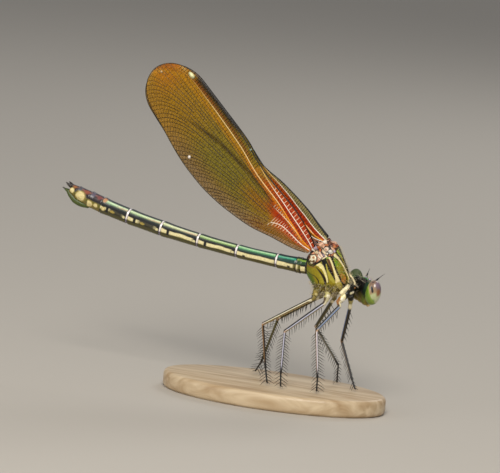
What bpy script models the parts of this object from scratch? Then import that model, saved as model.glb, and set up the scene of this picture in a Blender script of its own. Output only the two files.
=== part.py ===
"""A life-size female damselfly standing with its wings closed, on a flat oval base.

The animal is worked out in millimetres in its own stance: +X runs towards the head, +Y to its
left and +Z up, and Z is 0 where the feet stand. place() turns that into the part's frame.
"""

import math

import bmesh
import bpy
from mathutils import Matrix, Vector

MM = 0.001
GAP = 0.3

# Base
BASE_LENGTH = 27.0
BASE_WIDTH = 15.0
BASE_HEIGHT = 2.0
BASE_EDGE = 0.45
BASE_SIDES = 44
BASE_CENTRE_X = -4.4
FLOOR_Z = BASE_HEIGHT + GAP

# Thorax: height, rear end, front end and half width of each level slice
THORAX_SLICES = (
    (10.95, 0.15, 2.35, 0.60),
    (11.25, -0.50, 2.80, 1.00),
    (12.00, -0.95, 3.15, 1.28),
    (12.55, -1.40, 3.55, 1.38),
    (13.10, -1.80, 3.72, 1.43),
    (13.90, -1.92, 3.42, 1.45),
    (14.90, -1.68, 2.90, 1.36),
    (15.80, -0.95, 2.42, 1.16),
    (16.50, -0.20, 2.02, 0.88),
    (16.95, 0.45, 1.55, 0.45),
)
THORAX_SIDES = 20
THORAX_NOSE = 1.55
# Each wing grows from a short boss: its radii, and the way from its top into the body
WING_BOSS_RADII = (0.55, 0.42)
WING_BOSS_DEPTH = (0.75, 0.35, -1.25)
WING_BOSS_TOP = 0.02
WAIST_RADIUS = 0.84
WAIST_START = (-0.8, 0.0, 13.70)
WAIST_ROUNDNESS = 4

# Prothorax: place along the body, height of its middle, half height and half width of each ring
PROTHORAX_RINGS = (
    (3.42, 11.40, 0.38, 0.60),
    (3.60, 11.47, 0.66, 0.85),
    (3.92, 11.58, 0.82, 0.92),
    (4.22, 11.75, 0.70, 0.72),
    (4.45, 11.88, 0.42, 0.42),
)
PROTHORAX_SIDES = 14
NECK_ROOT = (4.15, 0.10, 11.85)
NECK_END = (4.40, 0.52, 12.00)
NECK_RADIUS = 0.34

# Head, turned well to the animal's left and leaning a little
HEAD_CENTRE = (4.88, 1.60, 12.02)
HEAD_YAW = 57.0
HEAD_ROLL = 12.0
EYE_OFFSET = 1.80
EYE_RADII = (0.86, 0.97, 1.48)
HEAD_LUMPS = (
    # middle (forward, left, up) and half sizes (forward, left, up)
    ((0.12, 0.0, 0.04), (0.85, 1.72, 1.04)),
    ((-0.28, 0.0, 0.05), (0.48, 1.35, 0.88)),
    ((0.05, 0.0, -0.62), (0.78, 1.50, 0.95)),
    ((0.00, 0.80, -1.22), (0.54, 0.78, 0.70)),
    ((0.00, -0.80, -1.22), (0.54, 0.78, 0.70)),
    ((0.72, 0.0, -0.18), (0.58, 0.92, 0.52)),
    ((0.82, 0.0, -0.72), (0.52, 0.80, 0.34)),
    ((0.70, 0.0, -1.18), (0.46, 0.66, 0.30)),
    ((0.18, 0.0, -1.55), (0.62, 0.62, 0.46)),
)
MANDIBLE_PLACE = (0.42, 0.66, -1.20)
MANDIBLE_RADII = (0.42, 0.26, 0.50)
MOUTH_MIDDLE = (0.95, 0.0, -1.47)
MOUTH_RADII = (0.62, 0.80, 0.10)
OCELLUS_RADIUS = 0.17
OCELLUS_PLACES = ((0.62, 0.0, 0.84), (0.30, 0.36, 1.00), (0.30, -0.36, 1.00))
ANTENNA_ROOT = (0.66, 0.74, 0.80)
ANTENNA_LENGTH = 1.65
ANTENNA_RADIUS = 0.25
# Share of the length and share of the radius
ANTENNA_STEPS = ((0.0, 1.0), (0.25, 0.95), (0.55, 0.6), (1.0, 0.2))
ANTENNA_DIRECTIONS = {"left": (0.62, 0.62, 0.48), "right": (0.44, -0.35, 0.83)}

# Abdomen: a curve through four controls in the middle plane, and its ten segments
ABDOMEN_CONTROLS = ((-2.28, 13.72), (-12.9, 14.18), (-26.4, 16.55), (-31.75, 19.0))
SEGMENT_SHARES = (0.60, 2.35, 5.05, 4.95, 4.80, 4.40, 3.65, 1.75, 1.80, 0.90)
SEGMENT_RADII = (
    (0.98, 0.93), (0.91, 0.85), (0.83, 0.79), (0.79, 0.83), (0.83, 0.92),
    (0.93, 0.94), (0.94, 0.98), (0.98, 0.99), (0.93, 0.80), (0.75, 0.56),
)
# Place along a segment and swell of its radius there
SEGMENT_PROFILE = (
    (0.00, 0.88), (0.05, 1.00), (0.35, 0.97), (0.75, 0.97), (0.94, 1.04), (1.00, 0.95),
)
LARGEST_SWELL = 1.04
ABDOMEN_SIDES = 16
ABDOMEN_FLATNESS = 0.88
CERCUS_LENGTH = 0.80
CERCUS_RADIUS = 0.25
CERCUS_TIP_RADIUS = 0.10
CERCUS_SIDE = 0.42
CERCUS_LIFT = 0.12
CERCUS_SPREAD = 0.12
OVIPOSITOR_RADIUS = 0.27
# Distance ahead of the abdomen's end and share of the full radius
OVIPOSITOR_KNOTS = ((3.1, 0.6), (2.5, 1.0), (1.7, 1.0), (0.9, 1.0), (0.3, 0.9), (-0.4, 0.4))

# Wings: root (X, Z), angle from +X to the tip, span, and the two edges as (span, offset) pairs
WING_THICKNESS = 0.50
VEIN_RISE = 0.07
WING_SETTLE = 2.4
LEFT_PAIR_SHIFT = -0.30
TIP_POWER = 2.2
STRAIGHT_STATIONS = 10
# Shares of the rounded tip's length
TIP_STATIONS = (0.40, 0.70, 0.90, 0.985)
VEIN_SHARES = (0.0, 0.13, 0.31, 0.52, 0.76)
VEIN_HALF_WIDTH = 0.016
WINGS = {
    "forewing": {
        "root": (0.69, 17.16),
        "angle": 142.4,
        "left_lag": 1.8,
        "span": 28.5,
        "root_y": 0.55,
        "rest_y": 0.48,
        "round_from": 23.3,
        "lead": ((0.0, 0.20), (2.0, 0.50), (4.4, 0.89), (8.2, 0.99), (11.7, 0.77),
                 (14.8, 1.58), (19.3, 2.23), (23.3, 2.76)),
        "trail": ((0.0, -0.55), (2.0, -1.30), (5.0, -2.60), (8.0, -3.70), (12.0, -4.60),
                  (16.0, -4.95), (20.0, -4.70), (23.3, -4.10)),
    },
    "hindwing": {
        "root": (-0.94, 15.68),
        "angle": 137.3,
        "left_lag": 2.4,
        "span": 28.1,
        "root_y": 1.00,
        "rest_y": 1.42,
        "round_from": 23.0,
        "lead": ((0.0, 0.60), (1.6, 1.27), (3.3, 1.66), (5.4, 1.83), (8.3, 1.82),
                 (11.1, 1.92), (14.6, 2.50), (19.2, 2.85), (23.0, 3.00)),
        "trail": ((0.0, -0.45), (1.4, -1.30), (4.4, -2.58), (6.7, -3.65), (9.1, -4.38),
                  (11.8, -4.97), (14.6, -5.24), (18.4, -5.06), (23.0, -4.20)),
    },
}

# Legs: top of the coxa, end of the trochanter, knee, ankle and the foot on the floor
LEGS = {
    "foreleg_right": ((3.12, -1.10, 10.55), (3.12, -1.25, 9.85), (1.24, -3.10, 7.04),
                      (1.89, -3.20, 1.55), (1.97, -3.30, 0.0)),
    "midleg_right": ((1.40, -0.95, 10.62), (1.20, -1.15, 9.90), (-2.56, -3.20, 6.38),
                     (-2.44, -3.60, 1.50), (-2.25, -3.80, 0.0)),
    "hindleg_right": ((-0.10, -0.95, 10.60), (-0.55, -1.10, 10.05), (-5.80, -1.75, 6.61),
                      (-4.70, -2.60, 1.70), (-4.20, -3.00, 0.0)),
    "foreleg_left": ((3.62, 1.05, 10.50), (3.55, 1.25, 9.45), (2.34, 3.00, 5.13),
                     (4.40, 1.90, 1.00), (5.00, 1.55, 0.0)),
    "midleg_left": ((1.60, 0.95, 10.62), (1.35, 1.15, 9.90), (-1.05, 3.20, 6.33),
                    (2.05, 3.42, 2.20), (1.95, 3.80, 0.0)),
    "hindleg_left": ((0.00, 0.95, 10.60), (-0.45, 1.10, 10.05), (-5.25, 1.80, 6.87),
                     (-7.20, 2.70, 1.30), (-8.00, 3.10, 0.0)),
}
# Where each pair of legs grows from inside the body, on the left side
COXA_ANCHORS = {
    "foreleg": (3.80, 0.42, 11.45),
    "midleg": (1.55, 0.50, 11.80),
    "hindleg": (0.15, 0.50, 11.80),
}
COXA_RADIUS = 0.38
COXA_LENGTH = 0.38
COXA_BOSS_SPREAD = 1.15
TROCHANTER_RADIUS = 0.29
FEMUR_RADIUS = 0.29
KNEE_RADIUS = 0.26
TIBIA_RADIUS = 0.25
FOOT_RADIUS = 0.25
KNEE_GAP = 0.225
THIGH_START = 0.5
TOE_START = 0.4
TOE_TAPER = 0.9
TOE_HEIGHT = 0.13
PAD_RADIUS = 0.34
PAD_HEIGHT = 0.22
PAD_SIDES = 8
SPINE_LENGTH = 0.95
SPINE_RADIUS = 0.20
SPINE_PITCH = 0.85
SPINE_SLANT = 48.0
SPINE_SIDES = 4
SPINE_TIP_RADIUS = 0.03
SPINE_SINK = 0.05
# Bare lengths at the two ends of a row of spines
FEMUR_MARGINS = (0.90, 0.70)
TIBIA_MARGINS = (0.60, 0.35)
# Shares of a tibia's spine directions: in the plane the leg bends in, and across it
TIBIA_SPREAD = (0.92, 0.38)

COLOURS = {
    "thorax": ((0.30, 0.27, 0.04), 0.35, 0.2),
    "head": ((0.05, 0.07, 0.02), 0.35, 0.2),
    "eye": ((0.36, 0.27, 0.14), 0.15, 0.0),
    "abdomen": ((0.10, 0.22, 0.12), 0.3, 0.5),
    "wing": ((0.42, 0.16, 0.03), 0.3, 0.0),
    "leg": ((0.05, 0.05, 0.07), 0.4, 0.0),
    "base": ((0.62, 0.58, 0.50), 0.6, 0.0),
}


def clear_scene():
    for obj in list(bpy.data.objects):
        bpy.data.objects.remove(obj, do_unlink=True)


def make_materials():
    made = {}
    for name, (colour, roughness, metallic) in COLOURS.items():
        mat = bpy.data.materials.new(name)
        mat.use_nodes = True
        shader = mat.node_tree.nodes["Principled BSDF"]
        shader.inputs["Base Color"].default_value = (*colour, 1.0)
        shader.inputs["Roughness"].default_value = roughness
        shader.inputs["Metallic"].default_value = metallic
        made[name] = mat
    return made


def place(point):
    """A point of the stance, in millimetres, as a point of the part, in metres."""
    x, y, z = point
    return Vector(((x - BASE_CENTRE_X) * MM, y * MM, (z + FLOOR_Z) * MM))


def add_mesh(name, verts, faces, mat):
    """A closed mesh object of the given points of the stance, with its faces pointing out."""
    mesh = bpy.data.meshes.new(name)
    mesh.from_pydata([place(v) for v in verts], [], faces)
    work = bmesh.new()
    work.from_mesh(mesh)
    bmesh.ops.recalc_face_normals(work, faces=work.faces)
    work.to_mesh(mesh)
    work.free()
    mesh.materials.append(mat)
    obj = bpy.data.objects.new(name, mesh)
    bpy.context.scene.collection.objects.link(obj)
    return obj


def loft(name, rings, mat):
    """A closed skin over rings of equally many points, each end closed by a fan."""
    sides = len(rings[0])
    verts = [point for ring in rings for point in ring]
    faces = []
    for level in range(len(rings) - 1):
        for i in range(sides):
            a = level * sides + i
            b = level * sides + (i + 1) % sides
            faces.append((a, b, b + sides, a + sides))
    for start in (0, (len(rings) - 1) * sides):
        middle = sum((Vector(verts[start + i]) for i in range(sides)), Vector()) / sides
        verts.append(tuple(middle))
        for i in range(sides):
            faces.append((start + i, start + (i + 1) % sides, len(verts) - 1))
    return add_mesh(name, verts, faces, mat)


def tube(name, points, radii, mat, resolution=2):
    """A mesh tube along the points, as thick as the radii say, with filled ends."""
    curve = bpy.data.curves.new(name, "CURVE")
    curve.dimensions = "3D"
    curve.bevel_depth = MM
    curve.bevel_resolution = resolution
    curve.use_fill_caps = True
    spline = curve.splines.new("POLY")
    spline.points.add(len(points) - 1)
    for target, point, radius in zip(spline.points, points, radii):
        target.co = (*place(point), 1.0)
        target.radius = radius
    guide = bpy.data.objects.new(name + "_line", curve)
    bpy.context.scene.collection.objects.link(guide)
    shape = guide.evaluated_get(bpy.context.evaluated_depsgraph_get())
    mesh = bpy.data.meshes.new_from_object(shape)
    bpy.data.objects.remove(guide, do_unlink=True)
    work = bmesh.new()
    work.from_mesh(mesh)
    bmesh.ops.remove_doubles(work, verts=work.verts, dist=MM * 0.001)
    bmesh.ops.recalc_face_normals(work, faces=work.faces)
    work.to_mesh(mesh)
    work.free()
    mesh.materials.clear()
    mesh.materials.append(mat)
    obj = bpy.data.objects.new(name, mesh)
    bpy.context.scene.collection.objects.link(obj)
    return obj


def ellipsoid(name, frame, middle, radii, mat, segments=18, rings=12):
    """A ball with three half sizes, in a frame given in the stance's millimetres."""
    mesh = bpy.data.meshes.new(name)
    work = bmesh.new()
    bmesh.ops.create_uvsphere(work, u_segments=segments, v_segments=rings, radius=1.0)
    for vert in work.verts:
        x, y, z = vert.co
        spot = Vector((middle[0] + x * radii[0], middle[1] + y * radii[1], middle[2] + z * radii[2]))
        vert.co = place(frame @ spot)
    bmesh.ops.recalc_face_normals(work, faces=work.faces)
    work.to_mesh(mesh)
    work.free()
    mesh.materials.append(mat)
    obj = bpy.data.objects.new(name, mesh)
    bpy.context.scene.collection.objects.link(obj)
    return obj


def cone(name, root, tip, radii, mat, sides):
    """A cone from root to tip, with a radius at each."""
    axis = Vector(tip) - Vector(root)
    mesh = bpy.data.meshes.new(name)
    work = bmesh.new()
    bmesh.ops.create_cone(
        work, cap_ends=True, segments=sides, radius1=radii[0], radius2=radii[1], depth=axis.length
    )
    turn = axis.to_track_quat("Z", "Y").to_matrix()
    middle = (Vector(root) + Vector(tip)) / 2
    for vert in work.verts:
        vert.co = place(turn @ vert.co + middle)
    bmesh.ops.recalc_face_normals(work, faces=work.faces)
    work.to_mesh(mesh)
    work.free()
    mesh.materials.append(mat)
    obj = bpy.data.objects.new(name, mesh)
    bpy.context.scene.collection.objects.link(obj)
    return obj


def combine(obj, pieces, operation):
    """Joins the pieces to obj or cuts them from it, and keeps its largest closed surface."""
    group = bpy.data.collections.new(obj.name + "_pieces")
    bpy.context.scene.collection.children.link(group)
    for piece in pieces:
        bpy.context.scene.collection.objects.unlink(piece)
        group.objects.link(piece)
    step = obj.modifiers.new("combine", "BOOLEAN")
    step.operation = operation
    step.operand_type = "COLLECTION"
    step.collection = group
    step.solver = "EXACT"
    shape = obj.evaluated_get(bpy.context.evaluated_depsgraph_get())
    mesh = bpy.data.meshes.new_from_object(shape)
    obj.modifiers.remove(step)
    obj.data = mesh
    for piece in pieces:
        bpy.data.objects.remove(piece, do_unlink=True)
    bpy.data.collections.remove(group)
    keep_largest(mesh)


def keep_largest(mesh):
    """Drops every closed surface of the mesh but the one with the largest box."""
    work = bmesh.new()
    work.from_mesh(mesh)
    left = set(work.verts)
    islands = []
    while left:
        island = {left.pop()}
        front = list(island)
        while front:
            vert = front.pop()
            for edge in vert.link_edges:
                other = edge.other_vert(vert)
                if other in left:
                    left.remove(other)
                    island.add(other)
                    front.append(other)
        islands.append(island)
    largest = max(islands, key=island_size)
    spare = [vert for vert in work.verts if vert not in largest]
    bmesh.ops.delete(work, geom=spare, context="VERTS")
    work.to_mesh(mesh)
    work.free()


def island_size(island):
    spans = [max(v.co[i] for v in island) - min(v.co[i] for v in island) for i in range(3)]
    return sum(spans)


def smooth_value(pairs, at):
    """A smooth curve through (place, value) pairs."""
    last = len(pairs) - 1
    k = 0
    while k < last - 1 and at > pairs[k + 1][0]:
        k += 1
    (x0, y0), (x1, y1) = pairs[k], pairs[k + 1]
    before = pairs[max(k - 1, 0)]
    after = pairs[min(k + 2, last)]
    slope0 = (y1 - before[1]) / (x1 - before[0])
    slope1 = (after[1] - y0) / (after[0] - x0)
    width = x1 - x0
    t = (at - x0) / width
    h00 = (1 + 2 * t) * (1 - t) ** 2
    h10 = t * (1 - t) ** 2
    h01 = t * t * (3 - 2 * t)
    h11 = t * t * (t - 1)
    return h00 * y0 + h10 * width * slope0 + h01 * y1 + h11 * width * slope1


def make_thorax(mats):
    rings = []
    for height, rear, front, half_width in THORAX_SLICES:
        middle = (rear + front) / 2
        half = (front - rear) / 2
        ring = []
        for i in range(THORAX_SIDES):
            angle = 2 * math.pi * i / THORAX_SIDES
            along = math.cos(angle)
            across = math.sin(angle)
            if along > 0:
                across = math.copysign(abs(across) ** THORAX_NOSE, across)
            ring.append((middle + half * along, half_width * across, height))
        rings.append(ring)
    thorax = loft("thorax", rings, mats["thorax"])
    bosses = []
    for name, wing in WINGS.items():
        for side in (1, -1):
            end = wing_root(wing, side)
            ahead, inward, down = WING_BOSS_DEPTH
            depth = Vector((ahead, -side * inward, down))
            top = end + depth.normalized() * WING_BOSS_TOP
            line = (top + depth, top)
            bosses.append(tube(name + "_boss", line, WING_BOSS_RADII, mats["thorax"]))
    start, way = abdomen_at(abdomen_table(), 0.0)
    line = (WAIST_START, start - way * (GAP / 2))
    radii = (WAIST_RADIUS, WAIST_RADIUS)
    bosses.append(tube("waist", line, radii, mats["thorax"], WAIST_ROUNDNESS))
    bosses += [coxa_boss(name, mats["thorax"]) for name in LEGS if not name.startswith("fore")]
    combine(thorax, bosses, "UNION")


def coxa_way(name):
    """The direction in which a leg leaves the body, and the point inside the body it comes from."""
    kind, side_name = name.split("_")
    x, y, z = COXA_ANCHORS[kind]
    anchor = Vector((x, y if side_name == "left" else -y, z))
    return (Vector(LEGS[name][0]) - anchor).normalized(), anchor


def coxa_boss(name, mat):
    way, anchor = coxa_way(name)
    end = Vector(LEGS[name][0]) - way * GAP
    radii = (COXA_RADIUS * COXA_BOSS_SPREAD, COXA_RADIUS)
    return tube(name + "_boss", (anchor, end), radii, mat)


def make_prothorax(mats):
    rings = []
    for x, z, half_height, half_width in PROTHORAX_RINGS:
        ring = []
        for i in range(PROTHORAX_SIDES):
            angle = 2 * math.pi * i / PROTHORAX_SIDES
            ring.append((x, half_width * math.cos(angle), z + half_height * math.sin(angle)))
        rings.append(ring)
    prothorax = loft("prothorax", rings, mats["thorax"])
    pieces = [tube("neck", (NECK_ROOT, NECK_END), (NECK_RADIUS, NECK_RADIUS), mats["thorax"])]
    pieces += [coxa_boss(name, mats["thorax"]) for name in LEGS if name.startswith("fore")]
    combine(prothorax, pieces, "UNION")


def head_frame():
    turn = Matrix.Rotation(math.radians(HEAD_YAW), 4, "Z")
    lean = Matrix.Rotation(math.radians(HEAD_ROLL), 4, "X")
    return Matrix.Translation(HEAD_CENTRE) @ turn @ lean


def make_head(mats):
    frame = head_frame()
    lumps = []
    for middle, radii in HEAD_LUMPS:
        lumps.append(ellipsoid("lump", frame, middle, radii, mats["head"]))
    forward, left, up = MANDIBLE_PLACE
    for side in (1, -1):
        middle = (forward, side * left, up)
        lumps.append(ellipsoid("lump", frame, middle, MANDIBLE_RADII, mats["head"], 10, 8))
    for spot in OCELLUS_PLACES:
        radii = (OCELLUS_RADIUS,) * 3
        lumps.append(ellipsoid("lump", frame, spot, radii, mats["head"], 8, 6))
    head = lumps.pop(0)
    head.name = "head"
    combine(head, lumps, "UNION")
    cutters = []
    for side in (1, -1):
        middle = (0.0, side * EYE_OFFSET, 0.0)
        radii = [radius + GAP for radius in EYE_RADII]
        cutters.append(ellipsoid("cut", frame, middle, radii, mats["head"], 24, 16))
    cutters.append(ellipsoid("cut", frame, MOUTH_MIDDLE, MOUTH_RADII, mats["head"], 16, 8))
    combine(head, cutters, "DIFFERENCE")
    for name, side in (("eye_left", 1), ("eye_right", -1)):
        ellipsoid(name, frame, (0, side * EYE_OFFSET, 0), EYE_RADII, mats["eye"], 20, 12)
    for name, side in (("left", 1), ("right", -1)):
        forward, left, up = ANTENNA_ROOT
        root = frame @ Vector((forward, side * left, up))
        direction = (frame.to_3x3() @ Vector(ANTENNA_DIRECTIONS[name])).normalized()
        points = [root + direction * (GAP + ANTENNA_LENGTH * step) for step, _ in ANTENNA_STEPS]
        radii = [ANTENNA_RADIUS * share for _, share in ANTENNA_STEPS]
        tube("antenna_" + name, points, radii, mats["head"], 1)


def abdomen_point(t):
    """Point and unit direction of the abdomen's middle line at t from 0 to 1."""
    p0, p1, p2, p3 = (Vector((x, 0.0, z)) for x, z in ABDOMEN_CONTROLS)
    s = 1 - t
    point = p0 * s**3 + p1 * 3 * s * s * t + p2 * 3 * s * t * t + p3 * t**3
    way = (p1 - p0) * s * s + (p2 - p1) * 2 * s * t + (p3 - p2) * t * t
    return point, way.normalized()


def abdomen_table(steps=400):
    """Length along the abdomen's middle line at equal steps of t."""
    lengths = [0.0]
    last = abdomen_point(0)[0]
    for i in range(1, steps + 1):
        point = abdomen_point(i / steps)[0]
        lengths.append(lengths[-1] + (point - last).length)
        last = point
    return lengths


def abdomen_at(table, length):
    k = 0
    while k < len(table) - 2 and table[k + 1] < length:
        k += 1
    share = (length - table[k]) / (table[k + 1] - table[k])
    return abdomen_point((k + share) / (len(table) - 1))


def abdomen_ring(point, way, radius):
    side = Vector((0.0, 1.0, 0.0))
    up = way.cross(side) * -1
    if up.z < 0:
        up = up * -1
    ring = []
    for i in range(ABDOMEN_SIDES):
        angle = 2 * math.pi * i / ABDOMEN_SIDES
        across = side * (radius * ABDOMEN_FLATNESS * math.cos(angle))
        ring.append(tuple(point + across + up * (radius * math.sin(angle))))
    return ring


def abdomen_segments(total):
    """Start, end and the two radii of each segment, along the abdomen's middle line."""
    scale = total / sum(SEGMENT_SHARES)
    start = 0.0
    segments = []
    for share, radii in zip(SEGMENT_SHARES, SEGMENT_RADII):
        end = start + share * scale
        segments.append((start, end, *radii))
        start = end
    return segments


def make_abdomen(mats):
    table = abdomen_table()
    segments = abdomen_segments(table[-1])
    for number, (start, end, front, rear) in enumerate(segments, 1):
        first = start + GAP / 2
        last = end - GAP / 2
        rings = []
        for along, swell in SEGMENT_PROFILE:
            point, way = abdomen_at(table, first + (last - first) * along)
            rings.append(abdomen_ring(point, way, (front + (rear - front) * along) * swell))
        loft(f"abdomen_{number}", rings, mats["abdomen"])
    make_tail(mats, table, segments)


def make_tail(mats, table, segments):
    """The two cerci behind the last segment and the ovipositor under the last three."""
    end = table[-1]
    point, way = abdomen_at(table, end)
    up = Vector((way.z, 0.0, -way.x))
    for name, side in (("cercus_left", 1), ("cercus_right", -1)):
        sideways = Vector((0.0, side, 0.0))
        root = point + sideways * CERCUS_SIDE + up * CERCUS_LIFT + way * (GAP / 2)
        tip = root + way * CERCUS_LENGTH + sideways * CERCUS_SPREAD
        radii = (CERCUS_RADIUS, CERCUS_RADIUS, CERCUS_TIP_RADIUS)
        tube(name, (root, (root + tip) / 2, tip), radii, mats["abdomen"])
    line = []
    radii = []
    for back, share in OVIPOSITOR_KNOTS:
        at = end - max(back, 0.0)
        spot, heading = abdomen_at(table, at)
        start, stop, front, rear = next(seg for seg in segments if at <= seg[1] + GAP)
        body = front + (rear - front) * (at - start) / (stop - start)
        radius = OVIPOSITOR_RADIUS * share
        down = Vector((-heading.z, 0.0, heading.x))
        drop = body * LARGEST_SWELL + GAP + radius
        line.append(spot + down * drop - heading * min(back, 0.0))
        radii.append(radius)
    tube("ovipositor", line, radii, mats["abdomen"])


def wing_root(wing, side):
    x, z = wing["root"]
    shift = LEFT_PAIR_SHIFT if side > 0 else 0.0
    return Vector((x + shift, side * wing["root_y"], z))


def wing_edges(wing, span_at):
    """Offsets of the leading and trailing edges at a place along the wing."""
    start = wing["round_from"]
    if span_at <= start:
        return smooth_value(wing["lead"], span_at), smooth_value(wing["trail"], span_at)
    t = (span_at - start) / (wing["span"] - start)
    run_on = (span_at - start) * (1 - t) ** 2
    lead, trail = (
        knots[-1][1] + run_on * (knots[-1][1] - knots[-2][1]) / (knots[-1][0] - knots[-2][0])
        for knots in (wing["lead"], wing["trail"])
    )
    half = (lead - trail) / 2 * math.sqrt(max(1 - t**TIP_POWER, 0.0))
    middle = (lead + trail) / 2
    return middle + half, middle - half


def wing_columns():
    """Shares of the chord at which the wing has a row of points, and whether a vein is there."""
    columns = []
    for share in VEIN_SHARES:
        if share > 0:
            columns.append((share - VEIN_HALF_WIDTH * 2, 0.0))
        columns.append((share, 1.0))
        columns.append((share + VEIN_HALF_WIDTH * 2, 0.0))
    columns.append((1.0, 0.0))
    return columns


def make_wing(kind, side_name, side, mat):
    wing = WINGS[kind]
    lag = wing["left_lag"] if side > 0 else 0.0
    angle = math.radians(wing["angle"] + lag)
    along = Vector((math.cos(angle), 0.0, math.sin(angle)))
    ahead = Vector((math.sin(angle), 0.0, -math.cos(angle)))
    root = wing_root(wing, side)
    root.y = 0.0
    round_from = wing["round_from"]
    step = (round_from - GAP) / (STRAIGHT_STATIONS - 1)
    stations = [GAP + step * i for i in range(STRAIGHT_STATIONS)]
    stations += [round_from + (wing["span"] - round_from) * t for t in TIP_STATIONS]
    columns = wing_columns()
    verts = []
    for span_at in stations:
        lead, trail = wing_edges(wing, span_at)
        settle = min(span_at / WING_SETTLE, 1.0)
        settle = settle * settle * (3 - 2 * settle)
        y = side * (wing["root_y"] + (wing["rest_y"] - wing["root_y"]) * settle)
        for share, rise in columns:
            offset = lead + (trail - lead) * share
            middle = root + along * span_at + ahead * offset + Vector((0.0, y, 0.0))
            half = WING_THICKNESS / 2 + VEIN_RISE * rise
            verts.append(tuple(middle + Vector((0.0, half, 0.0))))
            verts.append(tuple(middle - Vector((0.0, half, 0.0))))
    add_mesh(f"{kind}_{side_name}", verts, wing_faces(len(stations), len(columns)), mat)


def wing_faces(stations, columns):
    """Triangles of a plate whose two faces are split alike, and of its rim."""
    def index(station, column, face):
        return 2 * (station * columns + column) + face

    faces = []
    for i in range(stations - 1):
        for j in range(columns - 1):
            for face in (0, 1):
                a = index(i, j, face)
                b = index(i + 1, j, face)
                c = index(i + 1, j + 1, face)
                d = index(i, j + 1, face)
                faces.append((a, b, c))
                faces.append((a, c, d))
    rim = [(i, 0) for i in range(stations)]
    rim += [(stations - 1, j) for j in range(1, columns)]
    rim += [(i, columns - 1) for i in range(stations - 2, -1, -1)]
    rim += [(0, j) for j in range(columns - 2, 0, -1)]
    for k, (i, j) in enumerate(rim):
        m, n = rim[(k + 1) % len(rim)]
        faces.append((index(i, j, 0), index(m, n, 0), index(m, n, 1)))
        faces.append((index(i, j, 0), index(m, n, 1), index(i, j, 1)))
    return faces


def leg_plane(points):
    """Unit vectors along a leg's femur, along its tibia and across the plane it bends in."""
    thigh = (Vector(points[2]) - Vector(points[1])).normalized()
    shin = (Vector(points[3]) - Vector(points[2])).normalized()
    return thigh, shin, thigh.cross(shin).normalized()


def spine_row(start, end, axis, sides_of, margins, mat):
    """Spines along a shaft, slanting towards its far end, on each of the given sides."""
    length = (end - start).length
    count = int((length - sum(margins)) / SPINE_PITCH)
    radii = (SPINE_RADIUS, SPINE_TIP_RADIUS)
    slant = math.radians(SPINE_SLANT)
    spines = []
    for k in range(count + 1):
        root = start + axis * (margins[0] + k * SPINE_PITCH)
        for out in sides_of:
            way = out * math.cos(slant) + axis * math.sin(slant)
            tip = root + way * (SPINE_LENGTH + TIBIA_RADIUS)
            spines.append(cone("spine", root + way * SPINE_SINK, tip, radii, mat, SPINE_SIDES))
    return spines


def make_leg(name, spec, mat):
    """A leg as two nodes parted at the knee: coxa to femur, and tibia to foot."""
    top, hip, knee, ankle, foot = (Vector(p) for p in spec)
    thigh, shin, hinge = leg_plane(spec)
    knee_end = knee - thigh * KNEE_GAP
    bend = top + coxa_way(name)[0] * COXA_LENGTH
    line = (top, bend, hip, hip + thigh * THIGH_START, (hip + knee) / 2, knee_end)
    radii = (
        COXA_RADIUS, COXA_RADIUS, TROCHANTER_RADIUS, TROCHANTER_RADIUS, FEMUR_RADIUS, KNEE_RADIUS,
    )
    femur = tube(name + "_femur", line, radii, mat)
    under = hinge.cross(thigh).normalized()
    if under.z > 0:
        under = under * -1
    spines = spine_row(hip, knee_end, thigh, (under,), FEMUR_MARGINS, mat)
    combine(femur, spines, "UNION")

    shin_start = knee + shin * KNEE_GAP
    toe = ankle + (foot - ankle).normalized() * TOE_START
    toe_end = foot + Vector((0.0, 0.0, TOE_HEIGHT))
    line = (shin_start, (shin_start + ankle) / 2, ankle, toe, toe_end)
    radii = (TIBIA_RADIUS, TIBIA_RADIUS, TIBIA_RADIUS, FOOT_RADIUS, FOOT_RADIUS * TOE_TAPER)
    tibia = tube(name + "_tibia", line, radii, mat)
    fore = hinge.cross(shin).normalized()
    along, across = TIBIA_SPREAD
    rows = (fore * along + hinge * across, fore * -along + hinge * across)
    pieces = spine_row(shin_start, ankle, shin, rows, TIBIA_MARGINS, mat)
    pad_top = foot + Vector((0.0, 0.0, PAD_HEIGHT))
    pieces.append(cone("pad", foot, pad_top, (PAD_RADIUS, FOOT_RADIUS), mat, PAD_SIDES))
    combine(tibia, pieces, "UNION")


def make_base(mat):
    height = BASE_HEIGHT * MM
    bpy.ops.mesh.primitive_cylinder_add(
        vertices=BASE_SIDES, radius=0.5, depth=height, location=(0, 0, height / 2)
    )
    base = bpy.context.active_object
    base.name = "stand_base"
    base.data.materials.append(mat)
    for vert in base.data.vertices:
        vert.co.x *= BASE_LENGTH * MM
        vert.co.y *= BASE_WIDTH * MM
    edge = base.modifiers.new("edge", "BEVEL")
    edge.width = BASE_EDGE * MM
    edge.segments = 2
    edge.limit_method = "ANGLE"
    edge.angle_limit = math.radians(40)


def main():
    clear_scene()
    mats = make_materials()
    make_base(mats["base"])
    make_thorax(mats)
    make_prothorax(mats)
    make_head(mats)
    make_abdomen(mats)
    for kind in WINGS:
        for side_name, side in (("left", 1), ("right", -1)):
            make_wing(kind, side_name, side, mats["wing"])
    for name, spec in LEGS.items():
        make_leg(name, spec, mats["leg"])


main()
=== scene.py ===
"""The finish of a life-size damselfly on its small wooden base.

The animal is worked out in millimetres in its own stance: +X runs towards the head, +Y to its
left and +Z up, and Z is 0 where the feet stand. to_frame() turns that into the model's frame.
"""

import math
import random

import bmesh
import bpy
import numpy as np
from mathutils import Matrix, Vector
from mathutils.kdtree import KDTree


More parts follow.
